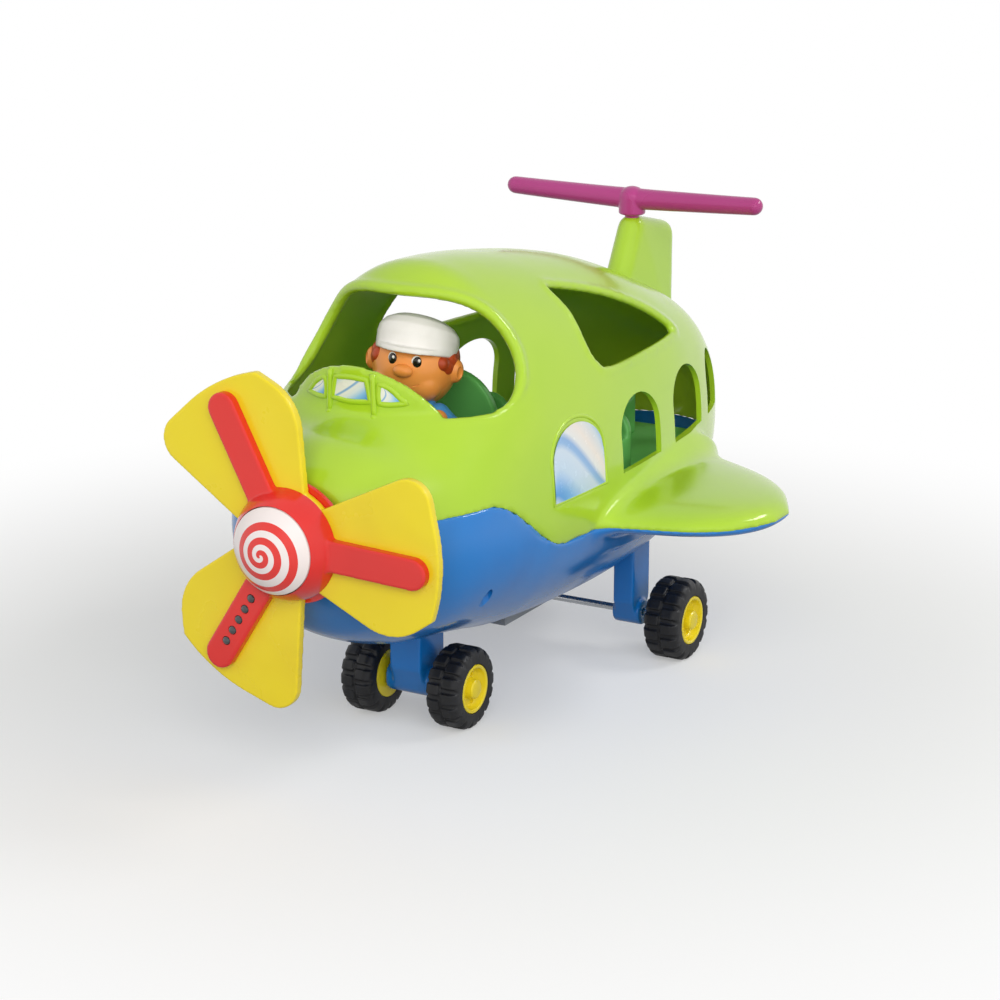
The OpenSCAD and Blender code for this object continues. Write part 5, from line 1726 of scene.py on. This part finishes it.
@dataclass
class Pilot:
    """A plain doll with a ball nose, round cheeks and a peaked cap, looking a little to port."""

    paint: Palette
    y: float = -0.0768
    foot: float = 0.127
    head_z: float = 0.184
    head_r: float = 0.021
    gaze: float = 14.0
    lean: float = 6.0
    set_back: Place = (-0.002, 0.0062, -0.002)
    voxel: float = 0.0005
    cheek: Bead = (40, 0.0118, -0.0055, (0.0098, 0.0098, 0.0094))
    ear: Bead = (87, 0.0212, 0.0005, (0.0046, 0.0038, 0.006))
    ear_dip: Bead = (81, 0.0248, 0.0005, (0.0024, 0.0018, 0.0038))
    chin: Bead = (0, 0.0098, -0.0095, (0.0098, 0.0095, 0.008))
    nose: Bead = (0, 0.0199, 0.002, (0.0052, 0.0038, 0.0034))
    # Reach, rise, bulge and upward bend of the smile, and its least and added radius
    smile: tuple[float, ...] = (0.0199, -0.0062, 0.0006, 0.000004, 0.0003, 0.0005)
    eye_rim: Bead = (18.6, 0.0191, 0.0067, (0.0025, 0.0008, 0.0034))
    eye_dot: Bead = (18.6, 0.0192, 0.0066, (0.0023, 0.0014, 0.0031))
    # A white dot on each eye that paints its highlight
    eye_glint: Bead = (18.6, 0.0203, 0.0079, (0.0007, 0.0005, 0.0008))
    # How far the rims and glints are turned past the dots, both to the same side
    rim_shift: float = -1.0
    glint_shift: float = 2.6
    back_shift: float = 0.0035
    back_hair: Place = (0.0207, 0.0188, 0.0165)
    tufts: tuple[Bead, ...] = (
        (60, 0.0178, 0.0052, (0.0042, 0.0042, 0.0042)), (70, 0.0178, 0.0032, (0.005, 0.0042, 0.005)),
        (82, 0.0178, 0.0052, (0.005, 0.0042, 0.005)),
    )
    cap_z: float = 0.1914
    cap_tilt: float = -20.0
    cap_rake: float = 0.3
    rake_from: float = 0.003
    button: Place = (0.0018, 0.0018, 0.0009)
    button_rise: float = 0.0159
    # The peak: rounds that its outline runs round, by place along and radius, its foot and top, where it
    # starts to droop and by how much, where it ends behind and how far the tool that ends it reaches
    peak_rounds: tuple[Flat, ...] = ((-0.0072, 0.0165), (-0.003, 0.019))
    peak_span: Flat = (-0.0016, 0.0012)
    peak_bend: float = 0.012
    peak_droop: float = 0.2
    peak_back: float = -0.004
    peak_room: float = 0.05
    # Profiles of the cap and the shirt: radius and height
    band: Table = ((0.0, -0.0012), (0.0195, -0.0012), (0.0201, -0.0006), (0.0203, 0.004), (0.0, 0.004))
    crown: Table = (
        (0.0, 0.001), (0.0193, 0.0012), (0.02, 0.003), (0.0205, 0.006), (0.0199, 0.0095), (0.0174, 0.0124),
        (0.013, 0.0145), (0.007, 0.0155), (0.0, 0.0158),
    )
    trunk: Table = (
        (0.0, 0.0), (0.0178, 0.0), (0.0188, 0.0012), (0.019, 0.006), (0.0182, 0.018), (0.017, 0.027),
        (0.0145, 0.0335), (0.011, 0.0375), (0.0095, 0.0395), (0.0, 0.0395),
    )
    # Bends of a sleeve: place across, along and up from the foot, and radius
    sleeve: Table = (
        (0.0142, 0.001, 0.033, 0.0058), (0.021, 0.0, 0.028, 0.006), (0.0222, -0.003, 0.022, 0.0056),
        (0.0218, -0.0075, 0.0268, 0.005),
    )
    # Lumps of a hand: place from the foot, radii and faces round it
    hand: tuple[tuple[Place, Place, int], ...] = (
        ((0.0212, -0.0105, 0.0335), (0.0046, 0.0044, 0.0052), 24),
        ((0.0175, -0.0112, 0.0355), (0.0018, 0.002, 0.0026), 16),
        ((0.0217, -0.0088, 0.029), (0.0036, 0.0036, 0.004), 16),
    )
    collar: Flat = (0.0098, 0.0385)
    collar_bead: float = 0.0018
    peg: float = 0.0064
    peg_depth: float = 0.01

    def spot(self, turn: float, reach: float, rise: float) -> Vector:
        """Places a point round the head: a turn from straight ahead, a reach and a rise over its middle."""
        angle = math.radians(turn + self.gaze)
        return Vector((reach * math.sin(angle), self.y - reach * math.cos(angle), self.head_z + rise))

    def bead(self, shape: Bead, side: int = 1, shift: float = 0.0) -> Mesh:
        """Sets an egg on the head.

        Args:
            shape: Its turn, reach, rise and radii.
            side: 1 for port, -1 for starboard.
            shift: What is added to its turn on either side.

        Returns:
            The egg in its place.
        """
        turn, reach, rise, radii = shape
        egg = lump("bead", (0, self.y - reach, self.head_z + rise), radii, 32)
        return swung(egg, (0, self.y, self.head_z), side * turn + shift + self.gaze)

    def leaned(self, obj: Mesh) -> Mesh:
        """Leans a piece of the head to port and sets it back, so that the lifted cap clears the roof."""
        swung(obj, (0, self.y, self.head_z), self.lean, "Y")
        for vertex in obj.data.vertices:
            vertex.co += Vector(self.set_back)
        return obj

    def head(self) -> None:
        """Models the head with its cheeks, nose, ears and a smile pressed into it."""
        r = self.head_r
        parts = [lump("skull", (0, self.y, self.head_z), (r, r * 0.98, r), 64)]
        for side in (-1, 1):
            parts += [self.bead(self.cheek, side), self.bead(self.ear, side)]
        parts.append(self.bead(self.chin))
        head = moulded(joined("vinyl_head", *parts), self.voxel, 14, 70_000)
        merge(head, moulded(self.bead(self.nose), self.voxel * 0.8, 2), Blend.ADD)
        for side in (-1, 1):
            merge(head, self.bead(self.ear_dip, side), Blend.TAKE)
        reach, rise, bulge, bend, least, gain = self.smile
        turns = range(-26, 27, 4)
        path = []
        for turn in turns:
            out = reach + bulge * math.cos(math.radians(3 * turn))
            path.append(self.spot(turn, out, rise + bend * turn * turn))
        middle = (len(turns) - 1) / 2
        radii = [least + gain * (1 - abs(k - middle) / (middle + 0.5)) for k in range(len(turns))]
        merge(head, tube("smile", path, radii, False), Blend.TAKE)
        crisp(head, 50)
        self.leaned(head)
        dressed(head, self.paint.skin, Body.PILOT, "pilot_head")

    def eyes(self) -> None:
        """Sets the eyes: a white rim, a black dot and a painted highlight dot."""
        for name, shape, shift, finish, slot in (
            ("eye_rims", self.eye_rim, self.rim_shift, self.paint.eye_white, "cap_white"),
            ("eye_dots", self.eye_dot, 0.0, self.paint.eye_dark, "tyre_black"),
            # The glints are painted highlights, in the same white as the printed rims
            ("eye_glints", self.eye_glint, self.glint_shift, self.paint.eye_white, "cap_white"),
        ):
            eyes = self.leaned(joined(name, *(self.bead(shape, side, shift) for side in (-1, 1))))
            crisp(eyes)
            dressed(eyes, finish, Body.PILOT, slot=slot)

    def hair(self) -> None:
        """Models the tufts in front of the ears and the hair at the back of the head."""
        shift = self.back_shift
        parts = [lump("back", (0, self.y + shift, self.head_z + shift), self.back_hair, 48)]
        parts += [self.bead(tuft, side) for side in (-1, 1) for tuft in self.tufts]
        hair = self.leaned(moulded(joined("auburn_hair", *parts), self.voxel, 4, 50_000))
        dressed(hair, self.paint.hair, Body.PILOT, slot="skin_tan")

    def cap(self) -> None:
        """Models the cap: a band, a full soft crown and a short peak, tilted back."""
        pivot = (0, self.y, self.cap_z)

        def at(a: float, b: float, height: float) -> Vector:
            """Places a point over the band's middle."""
            return Vector((a, self.y + b, self.cap_z + height))

        peak = hull([p for y, r in self.peak_rounds for p in ring(0, y, r, 64)])
        brim = slab("peak", peak, *self.peak_span, at)
        for vertex in brim.data.vertices:
            ahead = max(self.y - self.peak_bend - vertex.co.y, 0)
            vertex.co.z -= ahead * self.peak_droop
        far, back = self.peak_room, self.peak_back
        behind = [(-far, back), (far, back), (far, far), (-far, far)]
        merge(brim, slab("behind", behind, -far, far, at), Blend.TAKE)
        parts = [turned("band", self.band, at, 96), turned("crown", self.crown, at, 96), brim]
        parts.append(lump("button", at(0, 0, self.button_rise), self.button, 24))
        cap = moulded(joined("white_peaked_cap", *parts), self.voxel, 6, 80_000)
        for vertex in cap.data.vertices:
            over = max(vertex.co.z - self.cap_z - self.rake_from, 0)
            vertex.co.z += over * self.cap_rake * (self.y - vertex.co.y) / self.head_r
        swung(swung(cap, pivot, self.cap_tilt, "X"), pivot, self.gaze)
        self.leaned(cap)
        dressed(cap, self.paint.cap, Body.PILOT, "pilot_cap")

    def shirt(self) -> None:
        """Models the shirt with its collar and bent arms, and the hands at the cuffs."""

        def at(a: float, b: float, height: float) -> Vector:
            """Places a point over the figure's foot."""
            return Vector((a, self.y + b, self.foot + height))

        parts = [turned("trunk", self.trunk, at, 96)]
        hands = []
        for side in (-1, 1):
            bends = [at(side * x, y, z) for x, y, z, _ in self.sleeve]
            radii = [r for *_, r in self.sleeve]
            parts.append(tube("sleeve", bends, radii, False))
            parts += [lump("bend", spot, (r, r, r), 24) for spot, r in zip(bends, radii)]
            lumps = [lump("lump", at(side * x, y, z), size, count) for (x, y, z), size, count in self.hand]
            hands.append(joined("hand", *lumps))
        radius, height = self.collar
        loop = [at(x, y, height) for x, y in ring(0, 0, radius, 32)]
        parts.append(tube("collar", loop, [self.collar_bead] * len(loop), True))
        shirt = moulded(joined("blue_shirt", *parts), self.voxel, 6, 90_000)
        merge(shirt, rod("peg_hole", (0, 0), self.peg, -0.001, self.peg_depth, at), Blend.TAKE)
        crisp(shirt, 50)
        dressed(shirt, self.paint.shirt, Body.PILOT, "pilot_body")
        palms = moulded(joined("vinyl_hands", *hands), self.voxel * 0.8, 5, 30_000)
        dressed(palms, self.paint.skin, Body.PILOT, slot="skin_tan")

    def build(self) -> None:
        """Builds the whole figure."""
        self.head()
        self.eyes()
        self.hair()
        self.cap()
        self.shirt()


@dataclass
class Handle:
    """The T-bar on the fin: two tapering grips with round ends, through a knob with a domed top."""

    paint: Palette
    y: float = 0.1607
    height: float = 0.23
    half: float = 0.079
    root: float = 0.0059
    tip: float = 0.0049
    rise: float = 0.0018
    bend: float = 1.3
    knob: float = 0.0075
    edge: float = 0.0008
    foot: float = 0.2212
    top: float = 0.237
    pin: float = 0.004
    pin_long: float = 0.012
    voxel: float = 0.0005

    def build(self) -> None:
        """Moulds the bar and its knob in one piece."""
        turns = [math.pi / 2 * k / 6 for k in range(7)]
        end = self.half - self.tip
        profile = [(self.tip * math.sin(t), end + self.tip * math.cos(t)) for t in turns[1:]]
        profile.insert(0, (0.0, self.half))
        swell = self.root - self.tip
        profile += [(self.tip + swell * (1 - k / 12), end * k / 12) for k in range(11, -1, -1)]
        profile += [(r, -x) for r, x in reversed(profile[:-1])]

        def lying(a: float, b: float, reach: float) -> Vector:
            """Places a turned point along the bar, which lifts a little towards its ends."""
            lift = self.rise * (abs(reach) / self.half) ** self.bend
            return Vector((reach, self.y + a, self.height + lift + b))

        def standing(a: float, b: float, height: float) -> Vector:
            """Places a point over the fin."""
            return Vector((a, self.y + b, height))

        dome = [(self.knob * math.sin(t), self.top - self.knob * 0.8 * (1 - math.cos(t))) for t in turns]
        end = self.foot - self.pin_long
        post = [*dome, (self.knob, self.foot + self.edge), (self.knob - self.edge, self.foot)]
        post += [(self.pin, self.foot), (self.pin, end), (0.0, end)]
        parts = [turned("bar", profile, lying, 64), turned("knob", post, standing, 64)]
        bar = moulded(joined("magenta_carrying_bar", *parts), self.voxel, 6, 80_000)
        dressed(bar, self.paint.magenta, Body.AIRFRAME, "tail_handle")


@dataclass
class Works:
    """What the belly and the nose hold: the battery door, the switch and all inner parts."""

    paint: Palette
    door_edge: float = 0.0004
    knob_edge: float = 0.0006

    def build(self) -> None:
        """Softens the door and the switch, and gives every inner CAD node its finish."""
        paint = self.paint
        door = copied("battery_door", "blue_battery_door")
        edged(door, self.door_edge, 2)
        dressed(door, paint.blue, Body.AIRFRAME, "battery_door")
        knob = copied("power_switch", "red_power_switch")
        edged(knob, self.knob_edge)
        dressed(knob, paint.red, Body.SWITCH, "power_switch")
        inner = {
            "circuit": paint.board, "pad_rubber": paint.pad, "bright_steel": paint.steel,
            "brass_ring": paint.brass, "natural_nylon": paint.nylon, "grey_plastic": paint.grey,
            "speaker_black": paint.black, "cell_wrap": paint.cell,
        }
        for node, slot in SLOTS.items():
            if slot in inner:
                data = frame["nodes"][node].data
                data.materials.clear()
                data.materials.append(inner[slot])
                LOG.info("%s: CAD node in %s", node, inner[slot].name)


@dataclass
class Studio:
    """Pale floor, soft lamps and the camera of the photograph."""

    floor_colour: str = "#f4f4f2"
    # What the floor throws back at the belly, darker than it looks
    bounce_colour: str = "#a9a9a7"
    floor_size: float = 14.0
    # Between these distances the floor fades into the white of the room
    fade: Flat = (0.2, 0.55)
    # How white the floor looks right under the object, apart from its shadow
    least_white: float = 0.3
    fibre_mm: float = 3.0
    fibre_depth_mm: float = 0.1
    aim: Place = (0.0, 0.0, 0.11)
    room_light: float = 0.24
    # Soft boxes: name, place, size, watts and whether they show in reflections
    lamps: tuple[tuple[str, Place, Flat, float, bool], ...] = (
        ("front_softbox", (1.3, -2.2, 1.35), (2.2, 2.2), 60, False),
        ("port_softbox", (2.2, -0.5, 1.0), (1.6, 1.6), 13, False),
        ("starboard_softbox", (-1.6, -1.2, 1.0), (2.0, 2.0), 11, False),
        ("strip_softbox", (1.13, 0.81, 1.2), (0.7, 0.26), 7, True),
    )
    camera_place: Place = (0.6424, -1.1296, 0.473)
    camera_turn: Place = (73.8, 0.0, 29.4)
    lens: float = 93.6
    sensor: float = 36.0

    def seen(self, tree: bpy.types.NodeTree) -> Socket:
        """Gives 1 for rays that show a surface to the camera, in a reflection or through clear plastic."""
        rays = add_node(tree, "LightPath", {})
        shown = rays.outputs["Is Camera Ray"]
        for kind in ("Is Glossy Ray", "Is Transmission Ray"):
            either = add_node(tree, "Math", {"operation": "MAXIMUM"}, {0: shown, 1: rays.outputs[kind]})
            shown = either.outputs[0]
        return shown

    def floor(self) -> None:
        """Lays a paper floor that keeps the shadow and fades into white further out."""
        only()
        bpy.ops.mesh.primitive_grid_add(x_subdivisions=2, y_subdivisions=2, size=self.floor_size)
        floor = added("studio_floor")
        made, tree, place = new_material("white_paper")
        seen = self.seen(tree)
        fibre = add_node(
            tree, "TexNoise", {"Scale": per_size(self.fibre_mm), "Detail": 2.0}, {"Vector": place}
        )
        bump = add_node(
            tree, "Bump", {"Strength": 0.02, "Distance": self.fibre_depth_mm * MM},
            {"Height": fibre.outputs["Fac"]},
        )
        straight = add_node(tree, "LightPath", {}).outputs["Is Camera Ray"]
        colour = add_node(
            tree, "Mix", {"data_type": "RGBA", 6: linear(self.bounce_colour), 7: linear(self.floor_colour)},
            {0: straight},
        )
        paper = add_node(
            tree, "BsdfPrincipled", {"Roughness": 0.9},
            {"Base Color": colour.outputs[2], "Normal": bump.outputs[0]},
        )
        reach = add_node(tree, "VectorMath", {"operation": "LENGTH"}, {0: place})
        away = add_node(
            tree, "MapRange", {
                "interpolation_type": "SMOOTHSTEP", "From Min": self.fade[0], "From Max": self.fade[1],
                "To Min": self.least_white,
            },
            {"Value": reach.outputs["Value"]},
        )
        share = add_node(tree, "Math", {"operation": "MULTIPLY"}, {0: away.outputs[0], 1: seen})
        glow = add_node(tree, "Emission", {"Color": (1, 1, 1, 1), "Strength": 1.0})
        both = add_node(tree, "MixShader", {}, {0: share.outputs[0], 1: paper.outputs[0], 2: glow.outputs[0]})
        add_node(tree, "OutputMaterial", {}, {"Surface": both.outputs[0]})
        floor.data.materials.append(made)

    def lamp(self, name: str, place: Place, size: Flat, watts: float, glint: bool) -> None:
        """Hangs a soft box that looks at the object.

        Args:
            name: Name of the lamp.
            place: Where it hangs.
            size: Its width and height.
            watts: Its power.
            glint: Whether it shows in reflections.
        """
        light = bpy.data.lights.new(name, "AREA")
        light.shape = "RECTANGLE"
        light.size, light.size_y = size
        light.energy = watts
        lamp = placed(name, light)
        lamp.location = place
        lamp.visible_glossy = glint
        aim = Vector(self.aim) - Vector(place)
        lamp.rotation_euler = aim.to_track_quat("-Z", "Y").to_euler()

    def sky(self) -> None:
        """Fills the room with soft light and shows a white wall to the camera and in reflections."""
        world = bpy.data.worlds.new("studio_room")
        world.use_nodes = True
        tree = world.node_tree
        tree.nodes.clear()
        level = add_node(
            tree, "MapRange", {"To Min": self.room_light, "To Max": 1.0}, {"Value": self.seen(tree)}
        )
        back = add_node(tree, "Background", {"Color": (1, 1, 1, 1)}, {"Strength": level.outputs[0]})
        add_node(tree, "OutputWorld", {}, {"Surface": back.outputs[0]})
        bpy.context.scene.world = world

    def camera(self) -> None:
        """Sets the camera at the photograph's viewing angle."""
        data = bpy.data.cameras.new("photo_camera")
        data.lens = self.lens
        data.sensor_width = self.sensor
        camera = placed("photo_camera", data)
        camera.location = self.camera_place
        camera.rotation_euler = [math.radians(t) for t in self.camera_turn]
        bpy.context.scene.camera = camera

    def build(self) -> None:
        """Sets up the whole studio."""
        bpy.context.scene.view_settings.view_transform = "Standard"
        self.floor()
        for row in self.lamps:
            self.lamp(*row)
        self.sky()
        self.camera()


def write_sizes() -> None:
    """Updates the view layer.
    """
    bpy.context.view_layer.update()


def main() -> None:
    """Builds the studio and every piece of the toy."""
    logging.basicConfig(level=logging.INFO, format="%(name)s: %(message)s")
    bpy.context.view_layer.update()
    Studio().build()
    body = Fuselage()
    paint = Palette(body.axis)
    Casing(body, Wing(body), paint).build()
    Propeller(paint).build()
    LandingGear(paint).build()
    Cabin(paint).build()
    Pilot(paint).build()
    Handle(paint).build()
    Works(paint).build()
    write_sizes()


if __name__ == "__main__":
    main()
